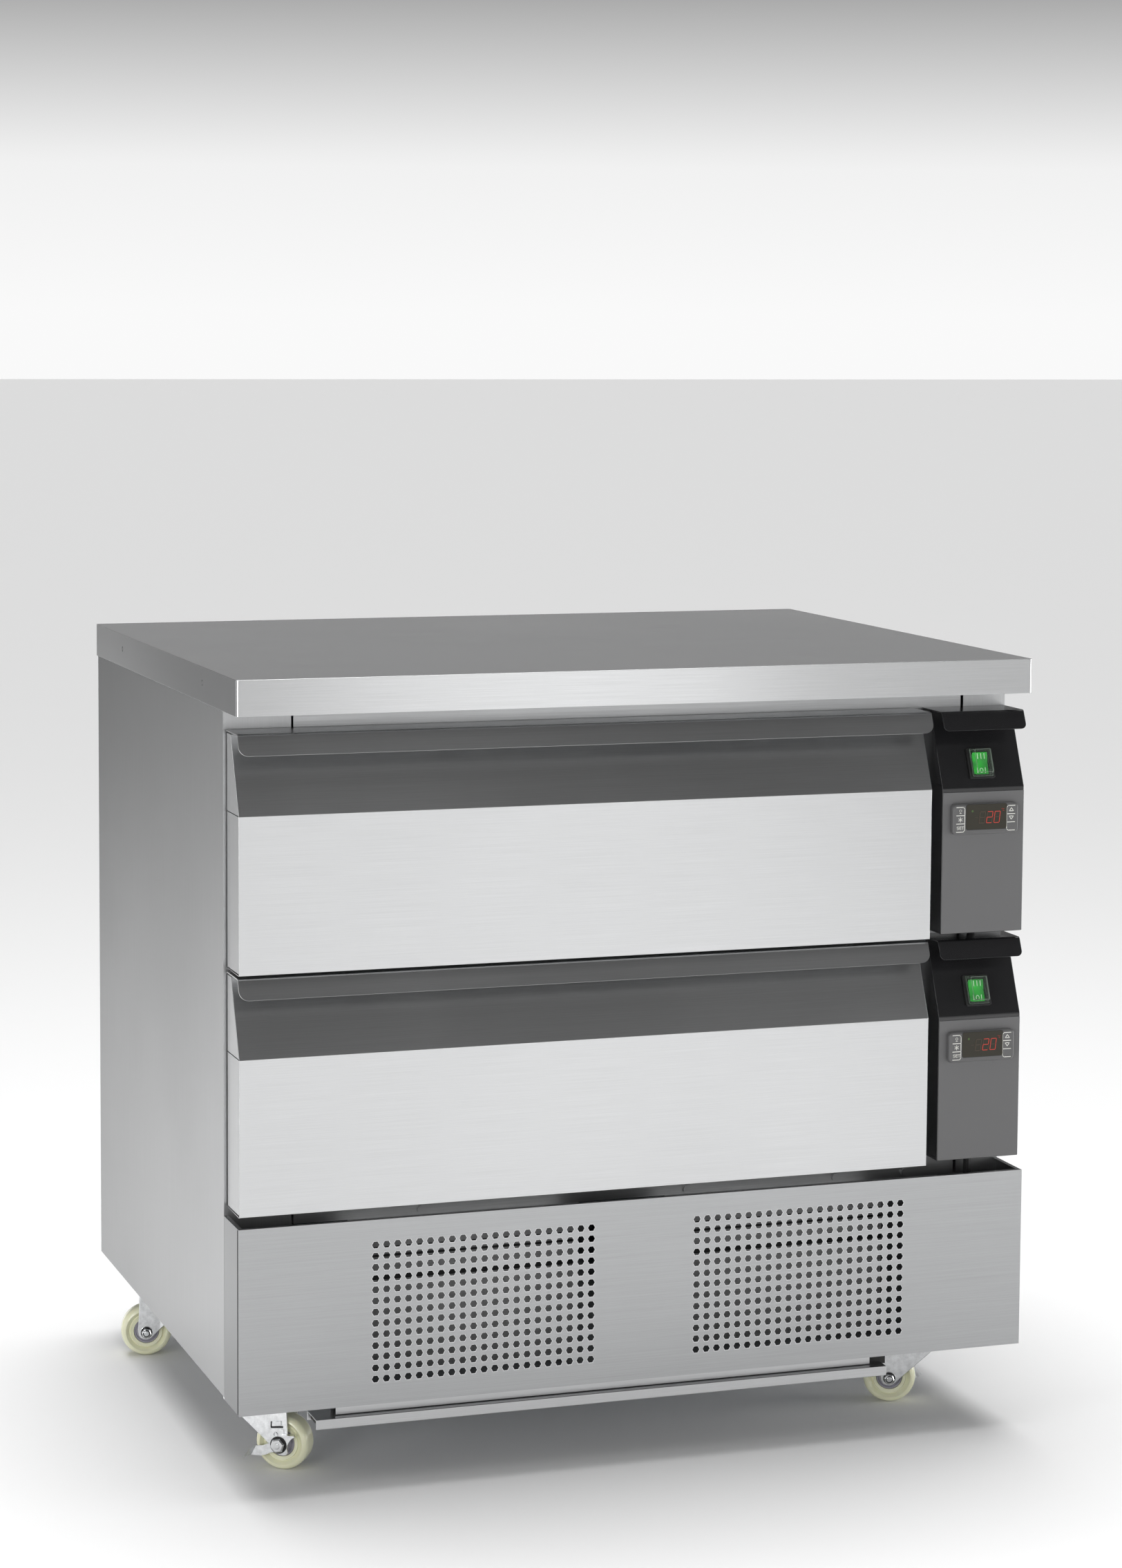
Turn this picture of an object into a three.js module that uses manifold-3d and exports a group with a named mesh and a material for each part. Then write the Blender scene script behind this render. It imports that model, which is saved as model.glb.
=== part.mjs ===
// Refrigerated gastronorm counter: an insulated stainless cabinet with two full-width drawers, a control module
// beside each drawer, a machine compartment behind a perforated cover, and four swivel castors.
// Millimetres, +Z up, front towards -Y, origin on the floor under the middle of the worktop.
import * as THREE from "three";
import { mergeVertices } from "three/addons/utils/BufferGeometryUtils.js";
import Module from "manifold-3d";

const wasm = await Module();
wasm.setup();

// Driving dimensions
const overallWidth = 900;
const overallDepth = 700;
const overallHeight = 865;
const seat = 0.3; // gap left between two pieces that rest on each other
const overrun = 6; // how far a cutter runs past what it cuts
const bite = 0.5; // how deep two joined shapes share material
const weldDistance = 0.001; // vertices nearer than this are one

// Worktop
const worktopEdge = 38;
const worktopCorner = 4;
const worktopBevel = 1.2;
const worktopRecess = 14; // the folded edges stand this far below the board inside
const worktopFold = 26;

// Cabinet
const cabinetSetback = 65;
const cabinetInset = 2;
const leftWall = 73;
const rightWall = 51;
const backWall = 40;
const machineWall = 20;
const ceilingThickness = 36;
const dividerThickness = 30;
const floorThickness = 42;
const leftSeam = 2.4;
const rightSeam = 3.4;
const panelBottomRise = 2.5; // side panels end this far above the cover's bottom edge

// Drawer fronts and control modules, which share one profile; the drawers take the width that the modules leave
const drawerInset = 4.5;
const moduleGap = 12.5;
const moduleWidth = 99;
const moduleInset = 4;
const fascia = {
  topGap: 19.5, // under the worktop
  gap: 3.5,
  face: 8, // behind the worktop's front edge
  thickness: 53,
  crease: 84.8, // below the top of the handle
  setback: 35,
  sheet: 1.5,
};
const handleLip = { bend: 13, drop: 21.5, lean: 9, corner: 10 };
const moduleLip = { bend: 13, drop: 20, lean: 9, corner: 6 };
const moduleRise = 4.5; // modules end this far above the bottom of the drawer front
const moduleSheet = 2;
const sideScrew = { radius: 4, height: 3, back: 34, down: 24 };

// Drawer wells and telescopic slides; a well holds two 325 x 530 pans side by side
const well = { rise: 16, headroom: 32.5, behind: 58, sheet: 1.5, rim: 6, rimSheet: 2 };
const slide = {
  space: 13.3,
  behind: 71,
  height: 45,
  sheet: 1.5,
  play: 0.5,
  fixedDepth: 10,
  middleStart: 3,
  middleDepth: 9,
  barStart: 6,
  rise: 62, // centre line above the bottom of the well
  back: 2,
};
const gasket = { width: 10, lap: 1, thickness: 3.4 };

// Evaporator housing at the right of each drawer bay
const evaporator = {
  width: 87,
  back: 23, // behind the housing, in front of the back wall
  sheet: 2,
  mullion: 20,
  fanHole: 46,
  fanFromBack: 100,
  slotWidth: 12,
  slotPitch: 30,
  slotHeight: 120,
  slotStart: 70,
  coilStart: 20,
  coilEnd: 6,
  coilFront: 32,
  coilGap: 168, // from the coil to the middle of the fan
  finPitch: 30,
  finGroove: 14,
  finDepth: 8,
  motorRadius: 20,
  motorStart: 26,
  motorLength: 30,
  bracketWidth: 22,
  bracketSheet: 4,
};
const evaporatorSlots = 5;
const evaporatorFan = { radius: 42, hub: 12, blade: 2, chord: 22, pitchDeg: 28 };

// Front cover
const cover = {
  drop: 1.5, // its bottom edge below the castors' top plates
  proud: 0.5, // its face in from the worktop's front edge
  topGap: 10.5,
  height: 198,
  sheet: 1.5,
  hem: 5,
  bottomFlange: 11,
};
const grille = { pitch: 12, holeAcross: 8.2, holeHeight: 7.1, side: 147.5, middle: 60.5, low: 27, high: 27 };

// Machine compartment
const castorHeight = 96;
const tray = { sheet: 2, front: 15, lip: 10, side: 0.3 };
const condenser = {
  headroom: 27.5,
  coil: 40,
  setback: 10,
  rise: 11,
  groovePitch: 23,
  groove: 9,
  grooveDepth: 7,
  shroud: 20,
  margin: 12.5, // of the shroud over and under its opening
  motorRadius: 24,
  motorLength: 38,
  barHeight: 12,
  barSheet: 4,
  barInset: 18,
  barSetback: 28,
};
const condenserFan = { tipGap: 5, hub: 18, blade: 2, chord: 32, pitchDeg: 28 };
const compressor = { radius: 72, headroom: 28.5, fromBack: 175, plate: 150, plateSheet: 4, foot: 9, footHeight: 12 };
const rearGrille = { sheet: 1.5, margin: 78, web: 24, slotHeight: 8, slotPitch: 20 };
const rearSlotRows = 6;
const rearSlotColumns = 5;
const gland = { radius: 9, length: 14, inset: 60, rise: 40 };
const frontRail = {
  left: 88, // in from the worktop's left end
  right: 120,
  front: 12,
  depth: 38,
  height: 11,
  inset: 24,
  topFront: 22,
  topDepth: 26,
  sheet: 2,
};
const rearRail = { side: 105, inset: 12, depth: 38, height: 19 };
const floorScrew = { radius: 4.5, height: 2.4, below: 9 };
const floorScrewShares = [0.184, 0.581, 0.812, 0.922]; // along the floor's front edge, from the left
const terminalBox = { width: 46, depth: 48, height: 32, inset: 12 };

// Castors
const castor = {
  side: 66, // kingpin in from the worktop's end
  end: 126, // kingpin in from the worktop's front or back edge
  shift: -8, // the four stand a little left of the middle, as the front rails do
  trail: 27,
  wheelRadius: 30,
  wheelWidth: 26,
  plateWidth: 70,
  plateLength: 88,
  plateSheet: 3,
  cupRadius: 25,
  cupDepth: 3.5,
  raceRadius: 23,
  raceDepth: 3.2,
  pin: 5,
  pinClearance: 1.2,
  pinHead: 4,
  crownFront: 34,
  crownBack: 34,
  crownSkirt: 12, // upright part of the leg's trailing edge
  crownSheet: 2.8,
  flareStart: 11, // ahead of the kingpin, where the legs begin to spread
  flareSlope: 0.2,
  legGap: 1.5,
  leg: 2.8,
  boss: 9,
  toe: 10,
  axle: 4,
  axleClearance: 0.5,
  head: 7,
  headLength: 5,
  wheelBore: 0.6,
};
const tyre = { shoulder: 4, rim: 21, sideStep: 3, hub: 11, hubStep: 2, web: 5 };
const brake = {
  sheet: 2,
  boss: 10.5,
  reach: 30,
  drop: 14,
  arm: 11,
  waist: 18, // where the arm's upper edge is lowest
  waistDrop: 2,
  padLength: 14,
  padWidth: 13,
  padSheet: 2,
  spurStart: 5,
  spurEnd: 20,
  spurRise: 13,
  spurWidth: 6,
  spurSheet: 2,
};
const castorPlaces = [
  { name: "front_left", side: -1, end: -1, headingDeg: -36, pedalDeg: 0 },
  { name: "front_right", side: 1, end: -1, headingDeg: 157, pedalDeg: 8 },
  { name: "rear_left", side: -1, end: 1, headingDeg: 168 },
  { name: "rear_right", side: 1, end: 1, headingDeg: 100 },
];

// Switch and controller on each module
const rocker = {
  frameWidth: 30,
  frameHeight: 35,
  frameDepth: 3,
  holeWidth: 21,
  holeHeight: 28,
  above: 28, // frame centre above the crease, along the slope
  bodyDepth: 16,
  clearance: 0.7,
  pivot: 4,
  bulge: 3.4,
  tail: 6,
  restDeg: 7,
  coverFoot: 1,
  coverHeight: 9.5,
  coverWall: 1,
  coverTopWidth: 19,
  coverTopHeight: 26,
};
const controller = {
  width: 80,
  height: 34,
  depth: 6,
  corner: 5,
  bevel: 1.5,
  below: 33.5, // centre below the crease
  windowWidth: 46,
  windowHeight: 25,
  windowDepth: 1,
  keyWidth: 10,
  keyHeight: 9,
  keyPitch: 10,
  keyProud: 0.5,
  keyInset: 5,
  bodyWidth: 71,
  bodyHeight: 28,
  bodyDepth: 30,
  holeClearance: 0.5,
};
const controllerKeys = 3;
const overlay = { sheet: 0.8, below: 4 };
const harness = { radius: 5.5, tip: 4.5, right: 6.5, setback: 48, bend: 12 };

// How round the round pieces are
const fineSides = 16;
const plainSides = 12;
const wheelSides = 20;
const arcSteps = 4;
const quarter = Math.PI / 2;

// Shapes are worked out as solids and turned into meshes at the end
function solidOf(geometry) {
  const loose = geometry.index ? geometry.toNonIndexed() : geometry;
  const bare = new THREE.BufferGeometry();
  bare.setAttribute("position", loose.getAttribute("position"));
  const merged = mergeVertices(bare, weldDistance);
  return new wasm.Manifold(
    new wasm.Mesh({
      numProp: 3,
      vertProperties: merged.attributes.position.array,
      triVerts: new Uint32Array(merged.index.array),
    }),
  );
}

function geometryOf(solid) {
  const mesh = solid.getMesh();
  const geometry = new THREE.BufferGeometry();
  geometry.setAttribute("position", new THREE.BufferAttribute(new Float32Array(mesh.vertProperties), 3));
  geometry.setIndex(new THREE.BufferAttribute(new Uint32Array(mesh.triVerts), 1));
  return geometry;
}

const join = (first, ...others) => others.reduce((all, other) => all.add(other), first);
const cut = (first, ...others) => others.reduce((left, other) => left.subtract(other), first);

function box(x0, x1, y0, y1, z0, z1) {
  const block = new THREE.BoxGeometry(x1 - x0, y1 - y0, z1 - z0);
  return solidOf(block.translate((x0 + x1) / 2, (y0 + y1) / 2, (z0 + z1) / 2));
}

function outline(points) {
  const shape = new THREE.Shape();
  points.forEach(([u, v], i) => (i ? shape.lineTo(u, v) : shape.moveTo(u, v)));
  shape.closePath();
  return shape;
}

// A rectangle whose four corners are rounded
function roundedOutline(u0, u1, v0, v1, radius) {
  const shape = new THREE.Shape();
  shape.absarc(u1 - radius, v0 + radius, radius, -quarter, 0);
  shape.absarc(u1 - radius, v1 - radius, radius, 0, quarter);
  shape.absarc(u0 + radius, v1 - radius, radius, quarter, 2 * quarter);
  shape.absarc(u0 + radius, v0 + radius, radius, 2 * quarter, 3 * quarter);
  shape.closePath();
  return shape;
}

const unitX = new THREE.Vector3(1, 0, 0);
const unitY = new THREE.Vector3(0, 1, 0);
const unitZ = new THREE.Vector3(0, 0, 1);
const drawnYZ = new THREE.Matrix4().makeBasis(unitY, unitZ, unitX);
const drawnXZ = new THREE.Matrix4().makeBasis(unitX, unitZ, unitY.clone().negate());

function extrusion(shape, depth, bevel = 0) {
  return new THREE.ExtrudeGeometry(shape, {
    depth: depth - 2 * bevel,
    bevelEnabled: bevel > 0,
    bevelThickness: bevel,
    bevelSize: bevel,
    bevelOffset: -bevel,
    bevelSegments: 1,
    curveSegments: arcSteps,
    steps: 1,
  }).translate(0, 0, bevel);
}

// Prisms: the outline is drawn in the two other axes, looking along the prism
const prismX = (shape, x0, x1) => solidOf(extrusion(shape, x1 - x0).applyMatrix4(drawnYZ).translate(x0, 0, 0));
const prismY = (shape, y0, y1, bevel) =>
  solidOf(
    extrusion(shape, y1 - y0, bevel)
      .applyMatrix4(drawnXZ)
      .translate(0, y1, 0),
  );
const prismZ = (shape, z0, z1, bevel) => solidOf(extrusion(shape, z1 - z0, bevel).translate(0, 0, z0));

function rod(axis, radius, from, to, u, v, sides = plainSides) {
  const bar = new THREE.CylinderGeometry(radius, radius, to - from, sides).translate(0, (from + to) / 2, 0);
  if (axis === "z") return solidOf(bar.rotateX(quarter).translate(u, v, 0));
  if (axis === "x") return solidOf(bar.rotateZ(-quarter).translate(0, u, v));
  return solidOf(bar.translate(u, 0, v));
}

// A turned shape about +Z: pairs of radius and height, listed from the foot up
function turnedZ(profile, sides) {
  const points = profile.map(([r, h]) => new THREE.Vector2(r, h));
  return solidOf(new THREE.LatheGeometry(points, sides).rotateX(quarter));
}

// Materials
function finish(color, roughness, metalness) {
  return new THREE.MeshStandardMaterial({ color, roughness, metalness, flatShading: true });
}
const brushedSteel = finish(0xb9babb, 0.34, 0.9);
const paleSteel = finish(0xc9cacb, 0.3, 0.9);
const zincSteel = finish(0xa9adb0, 0.4, 0.85);
const blackPaint = finish(0x1c1c1d, 0.45, 0.2);
const greyPaint = finish(0x6a6b6c, 0.55, 0.1);
const greyPlastic = finish(0x5f6061, 0.5, 0);
const blackPlastic = finish(0x151515, 0.5, 0);
const greenPlastic = finish(0x1fae36, 0.35, 0);
const clearPlastic = new THREE.MeshStandardMaterial({ color: 0xe8f2ea, roughness: 0.08, metalness: 0, opacity: 0.3 });
clearPlastic.transparent = true;
const darkRubber = finish(0x262627, 0.8, 0);
const nylon = finish(0xcfcfa6, 0.35, 0);
const finAluminium = finish(0x9ea2a5, 0.45, 0.8);
const compressorPaint = finish(0x1b1c1e, 0.5, 0.3);

const counter = new THREE.Group();

function piece(name, solid, material, parent = counter) {
  const mesh = new THREE.Mesh(geometryOf(solid), material);
  mesh.name = name;
  parent.add(mesh);
  return mesh;
}

// Places that several pieces share
const halfWidth = overallWidth / 2;
const frontEdge = -overallDepth / 2;
const backEdge = overallDepth / 2;
const cabinetFront = frontEdge + cabinetSetback;
const cabinetBack = backEdge - cabinetInset;
const cabinetLeft = -halfWidth + cabinetInset;
const cabinetRight = halfWidth - cabinetInset;
const cabinetTop = overallHeight - worktopEdge - seat;
const bayLeft = cabinetLeft + leftWall;
const bodyRight = cabinetRight - rightWall;
const bayRight = bodyRight - evaporator.width;
const backInside = cabinetBack - backWall;

const coverBottom = castorHeight - cover.drop;
const coverTop = coverBottom + cover.height;
const coverFace = frontEdge + cover.proud;
const topFasciaTop = overallHeight - worktopEdge - fascia.topGap;
const fasciaHeight = (topFasciaTop - coverTop - cover.topGap - fascia.gap) / 2;
const bottomFasciaTop = topFasciaTop - fasciaHeight - fascia.gap;
const fasciaFace = frontEdge + fascia.face;
const fasciaBack = fasciaFace + fascia.thickness;
const drawerLeft = -halfWidth + drawerInset;
const moduleRight = halfWidth - moduleInset;
const moduleLeft = moduleRight - moduleWidth;
const moduleCentre = (moduleLeft + moduleRight) / 2;
const drawerRight = moduleLeft - moduleGap;

const bayCeiling = cabinetTop - ceilingThickness;
const dividerTop = topFasciaTop - fasciaHeight - fascia.gap / 2 + dividerThickness / 2;
const dividerBottom = dividerTop - dividerThickness;
const bayHeight = bayCeiling - dividerTop;
const floorTop = dividerBottom - bayHeight;
const floorBottom = floorTop - floorThickness;

const panelBottom = coverBottom + panelBottomRise;
const trayBottom = castorHeight + castor.plateSheet;
const trayTop = trayBottom + tray.sheet;
const kingpinX = (side) => side * (halfWidth - castor.side) + castor.shift;
const kingpinY = (end) => end * (overallDepth / 2 - castor.end);

const levels = [
  { name: "top", top: topFasciaTop, bay: dividerTop },
  { name: "bottom", top: bottomFasciaTop, bay: floorTop },
];

// Worktop: a folded stainless top on a stiffening board, its edges turned down and under
{
  const slab = prismZ(
    roundedOutline(-halfWidth, halfWidth, frontEdge, backEdge, worktopCorner),
    overallHeight - worktopEdge,
    overallHeight,
    worktopBevel,
  );
  const groove = (inset) =>
    box(
      -halfWidth + inset,
      halfWidth - inset,
      frontEdge + inset,
      backEdge - inset,
      overallHeight - worktopEdge - overrun,
      overallHeight - worktopEdge + worktopRecess,
    );
  const channel = cut(groove(worktopBevel * 2), groove(worktopFold));
  piece("worktop", cut(slab, channel), brushedSteel);
}

// Slides: two C sections that nest, with the bar of the well inside them
function slideSection(root, facing, start, depth, half) {
  const near = root + facing * start;
  const web = near + facing * slide.sheet;
  const far = near + facing * depth;
  const inner = half - slide.sheet;
  return (z) =>
    outline([
      [near, z - half],
      [far, z - half],
      [far, z - inner],
      [web, z - inner],
      [web, z + inner],
      [far, z + inner],
      [far, z + half],
      [near, z + half],
    ]);
}
const fixedHalf = slide.height / 2;
const middleHalf = fixedHalf - slide.sheet - slide.play;
const barHalf = middleHalf - slide.sheet - slide.play;
const slideFront = cabinetFront + slide.back;
const slideBack = backInside - slide.behind;
const slideCentre = (bay) => bay + well.rise + slide.rise;

function fixedRail(wall, facing, bay) {
  const section = slideSection(wall, facing, -bite, slide.fixedDepth + bite, fixedHalf);
  return prismY(section(slideCentre(bay)), slideFront, slideBack);
}

// Side panels: foam between two sheets at the bays, a single wall beside the machine compartment
function sidePanel(outer, inner, facing) {
  const slab = box(Math.min(outer, inner), Math.max(outer, inner), cabinetFront, cabinetBack, panelBottom, cabinetTop);
  const skin = outer + facing * machineWall;
  const past = inner + facing * overrun;
  const recess = box(
    Math.min(skin, past),
    Math.max(skin, past),
    cabinetFront - overrun,
    cabinetBack + overrun,
    panelBottom - overrun,
    floorBottom - seat,
  );
  return cut(slab, recess);
}
const leftPanel = sidePanel(cabinetLeft, bayLeft, 1);
piece("left_side_panel", join(leftPanel, ...levels.map(({ bay }) => fixedRail(bayLeft, 1, bay))), brushedSteel);
piece("right_side_panel", sidePanel(cabinetRight, bodyRight, -1), brushedSteel);

// Back, ceiling, divider and floor: foam-filled slabs between the side panels
const harnessX = moduleCentre + harness.right;
const slabLeft = bayLeft + leftSeam;
const slabRight = bodyRight - rightSeam;
piece(
  "back_panel",
  box(bayLeft + seat, bodyRight - seat, backInside, cabinetBack, floorBottom, cabinetTop),
  brushedSteel,
);
const insulatedSlab = (z0, z1) => box(slabLeft, slabRight, cabinetFront, backInside - seat, z0, z1);
piece("ceiling_panel", insulatedSlab(bayCeiling, cabinetTop), brushedSteel);
piece("bay_divider", insulatedSlab(dividerBottom, dividerTop), brushedSteel);
{
  const slab = insulatedSlab(floorBottom, floorTop);
  const screws = floorScrewShares.map((share) => {
    const x = slabLeft + share * (slabRight - slabLeft);
    return rod("y", floorScrew.radius, cabinetFront - floorScrew.height, cabinetFront + bite, x, coverTop - floorScrew.below);
  });
  const terminal = box(
    harnessX - terminalBox.width / 2,
    slabRight,
    cabinetFront + terminalBox.inset,
    cabinetFront + terminalBox.inset + terminalBox.depth,
    floorBottom - terminalBox.height,
    floorBottom + bite,
  );
  piece("cabinet_floor", join(slab, terminal, ...screws), brushedSteel);
}

// The profile that drawer fronts and modules share: upright face, crease, and a slope set back to the top
function fasciaProfile(top, bottom, back, inset = 0) {
  const crease = top - fascia.crease;
  const face = fasciaFace + inset;
  return outline([
    [back, bottom + inset],
    [face, bottom + inset],
    [face, crease],
    [face + fascia.setback, top - inset - fascia.sheet],
    [back, top - inset - fascia.sheet],
  ]);
}

// The lip that hangs from the front edge of a top flange and leans forward, with rounded lower corners
function lip(x0, x1, top, size) {
  const length = Math.hypot(size.drop, size.lean);
  const shape = new THREE.Shape();
  shape.moveTo(x0, 0);
  shape.lineTo(x0, -length + size.corner);
  shape.absarc(x0 + size.corner, -length + size.corner, size.corner, 2 * quarter, 3 * quarter);
  shape.absarc(x1 - size.corner, -length + size.corner, size.corner, 3 * quarter, 4 * quarter);
  shape.lineTo(x1, 0);
  shape.closePath();
  const plate = extrusion(shape, fascia.sheet)
    .applyMatrix4(drawnXZ)
    .translate(0, fascia.sheet, 0)
    .rotateX(-Math.atan2(size.lean, size.drop))
    .translate(0, frontEdge + size.bend, top);
  return solidOf(plate);
}

// Evaporator housings: a duct with its own fan and coil at the right of each bay, whose front is the mullion
function bladeRing(size, blades) {
  const wing = [];
  for (let i = 0; i < blades; i++) {
    const blade = new THREE.BoxGeometry(size.chord, size.blade, size.radius - size.hub / 2)
      .translate(0, 0, (size.radius + size.hub / 2) / 2)
      .rotateZ(THREE.MathUtils.degToRad(size.pitchDeg))
      .rotateY((i * 4 * quarter) / blades);
    wing.push(solidOf(blade));
  }
  const depth = size.chord * Math.sin(THREE.MathUtils.degToRad(size.pitchDeg)) + size.blade;
  return { solid: join(rod("y", size.hub, -depth / 2, depth / 2, 0, 0), ...wing), half: depth / 2 };
}
const fanBlades = 5;
const evaporatorRight = bodyRight - seat;
const evaporatorBack = backInside - evaporator.back;
const evaporatorFanY = evaporatorBack - evaporator.fanFromBack;
for (const { name, bay } of levels) {
  const z0 = bay + seat;
  const z1 = bay + bayHeight - seat;
  const middle = (z0 + z1) / 2;
  const wall = evaporator.sheet;
  const shell = cut(
    box(bayRight, evaporatorRight, cabinetFront, evaporatorBack, z0, z1),
    box(
      bayRight + wall,
      evaporatorRight + overrun,
      cabinetFront + evaporator.mullion,
      evaporatorBack - wall,
      z0 + wall,
      z1 - wall,
    ),
    rod("x", evaporator.fanHole, bayRight - overrun, bayRight + wall + bite, evaporatorFanY, middle, fineSides),
  );
  const slots = [];
  for (let i = 0; i < evaporatorSlots; i++) {
    const y = cabinetFront + evaporator.slotStart + i * evaporator.slotPitch;
    slots.push(
      box(
        bayRight - overrun,
        bayRight + wall + bite,
        y,
        y + evaporator.slotWidth,
        middle - evaporator.slotHeight / 2,
        middle + evaporator.slotHeight / 2,
      ),
    );
  }
  const coilFront = cabinetFront + evaporator.coilFront;
  const coilBack = evaporatorFanY - evaporator.coilGap;
  const coilLeft = bayRight + evaporator.coilStart;
  const grooves = [];
  for (let y = coilFront + evaporator.finPitch; y < coilBack - evaporator.finPitch / 2; y += evaporator.finPitch) {
    grooves.push(
      box(
        coilLeft - overrun,
        coilLeft + evaporator.finDepth,
        y,
        y + evaporator.finGroove,
        z0 + wall + bite,
        z1 - wall - bite,
      ),
    );
  }
  const coil = cut(
    box(
      coilLeft,
      evaporatorRight - evaporator.coilEnd,
      coilFront,
      coilBack,
      z0 + wall - bite,
      z1 - wall + bite,
    ),
    ...grooves,
  );
  const motorFront = bayRight + evaporator.motorStart;
  const motorBack = motorFront + evaporator.motorLength;
  const motor = join(
    rod("x", evaporator.motorRadius, motorFront, motorBack, evaporatorFanY, middle),
    box(
      motorBack - evaporator.bracketSheet,
      motorBack,
      evaporatorFanY - evaporator.bracketWidth / 2,
      evaporatorFanY + evaporator.bracketWidth / 2,
      z0 + wall - bite,
      z1 - wall + bite,
    ),
  );
  const housing = join(cut(shell, ...slots), coil, motor, fixedRail(bayRight, -1, bay));
  piece(`evaporator_housing_${name}`, housing, paleSteel);

  const ring = bladeRing(evaporatorFan, fanBlades);
  const fan = piece(`evaporator_fan_${name}`, ring.solid, blackPlastic);
  fan.rotation.z = quarter;
  fan.position.set(motorFront - seat - ring.half, evaporatorFanY, middle);
}

// Drawers: insulated front, handle lip folded from the top sheet, magnetic gasket, pan well and slides
const wellLeft = bayLeft + slide.space;
const wellRight = bayRight - slide.space;
const wellFront = fasciaBack + seat;
const wellBack = backInside - well.behind;
for (const { name, top, bay } of levels) {
  const bottom = top - fasciaHeight;
  const front = prismX(fasciaProfile(top - seat, bottom, fasciaBack), drawerLeft, drawerRight);
  const screw = rod(
    "x",
    sideScrew.radius,
    drawerRight - bite,
    drawerRight + sideScrew.height,
    frontEdge + sideScrew.back + fascia.setback / 2,
    top - sideScrew.down,
  );
  piece(`drawer_front_${name}`, join(front, screw), paleSteel);

  const flange = box(
    drawerLeft,
    drawerRight,
    frontEdge + handleLip.bend,
    fasciaBack,
    top - fascia.sheet,
    top,
  );
  piece(`drawer_handle_${name}`, join(flange, lip(drawerLeft, drawerRight, top, handleLip)), brushedSteel);

  const opening = { left: bayLeft - gasket.lap, right: bayRight + gasket.lap, low: bay - gasket.lap };
  const openingTop = bay + bayHeight + gasket.lap;
  const seal = cut(
    box(
      opening.left - gasket.width,
      opening.right + gasket.width,
      fasciaBack + seat,
      fasciaBack + seat + gasket.thickness,
      opening.low - gasket.width,
      openingTop + gasket.width,
    ),
    box(
      opening.left,
      opening.right,
      fasciaBack - overrun,
      fasciaBack + gasket.thickness + overrun,
      opening.low,
      openingTop,
    ),
  );
  piece(`drawer_gasket_${name}`, seal, darkRubber);

  const wellBottom = bay + well.rise;
  const wellTop = bay + bayHeight - well.headroom;
  const pocket = box(
    wellLeft + well.sheet,
    wellRight - well.sheet,
    wellFront + well.sheet,
    wellBack - well.sheet,
    wellBottom + well.sheet,
    wellTop + overrun,
  );
  const tub = join(
    box(wellLeft, wellRight, wellFront, wellBack, wellBottom, wellTop),
    box(wellLeft - well.rim, wellRight + well.rim, wellFront, wellBack + well.rim, wellTop - well.rimSheet, wellTop),
  );
  const bars = [
    box(bayLeft + slide.barStart, wellLeft + bite, slideFront, slideBack, ...barSpan(bay)),
    box(wellRight - bite, bayRight - slide.barStart, slideFront, slideBack, ...barSpan(bay)),
  ];
  piece(`drawer_well_${name}`, join(cut(tub, pocket), ...bars), paleSteel);

  const middleSection = (wall, facing) =>
    slideSection(wall, facing, slide.middleStart, slide.middleDepth, middleHalf)(slideCentre(bay));
  piece(`slide_left_${name}`, prismY(middleSection(bayLeft, 1), slideFront, slideBack), zincSteel);
  piece(`slide_right_${name}`, prismY(middleSection(bayRight, -1), slideFront, slideBack), zincSteel);
}
function barSpan(bay) {
  return [slideCentre(bay) - barHalf, slideCentre(bay) + barHalf];
}

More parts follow.
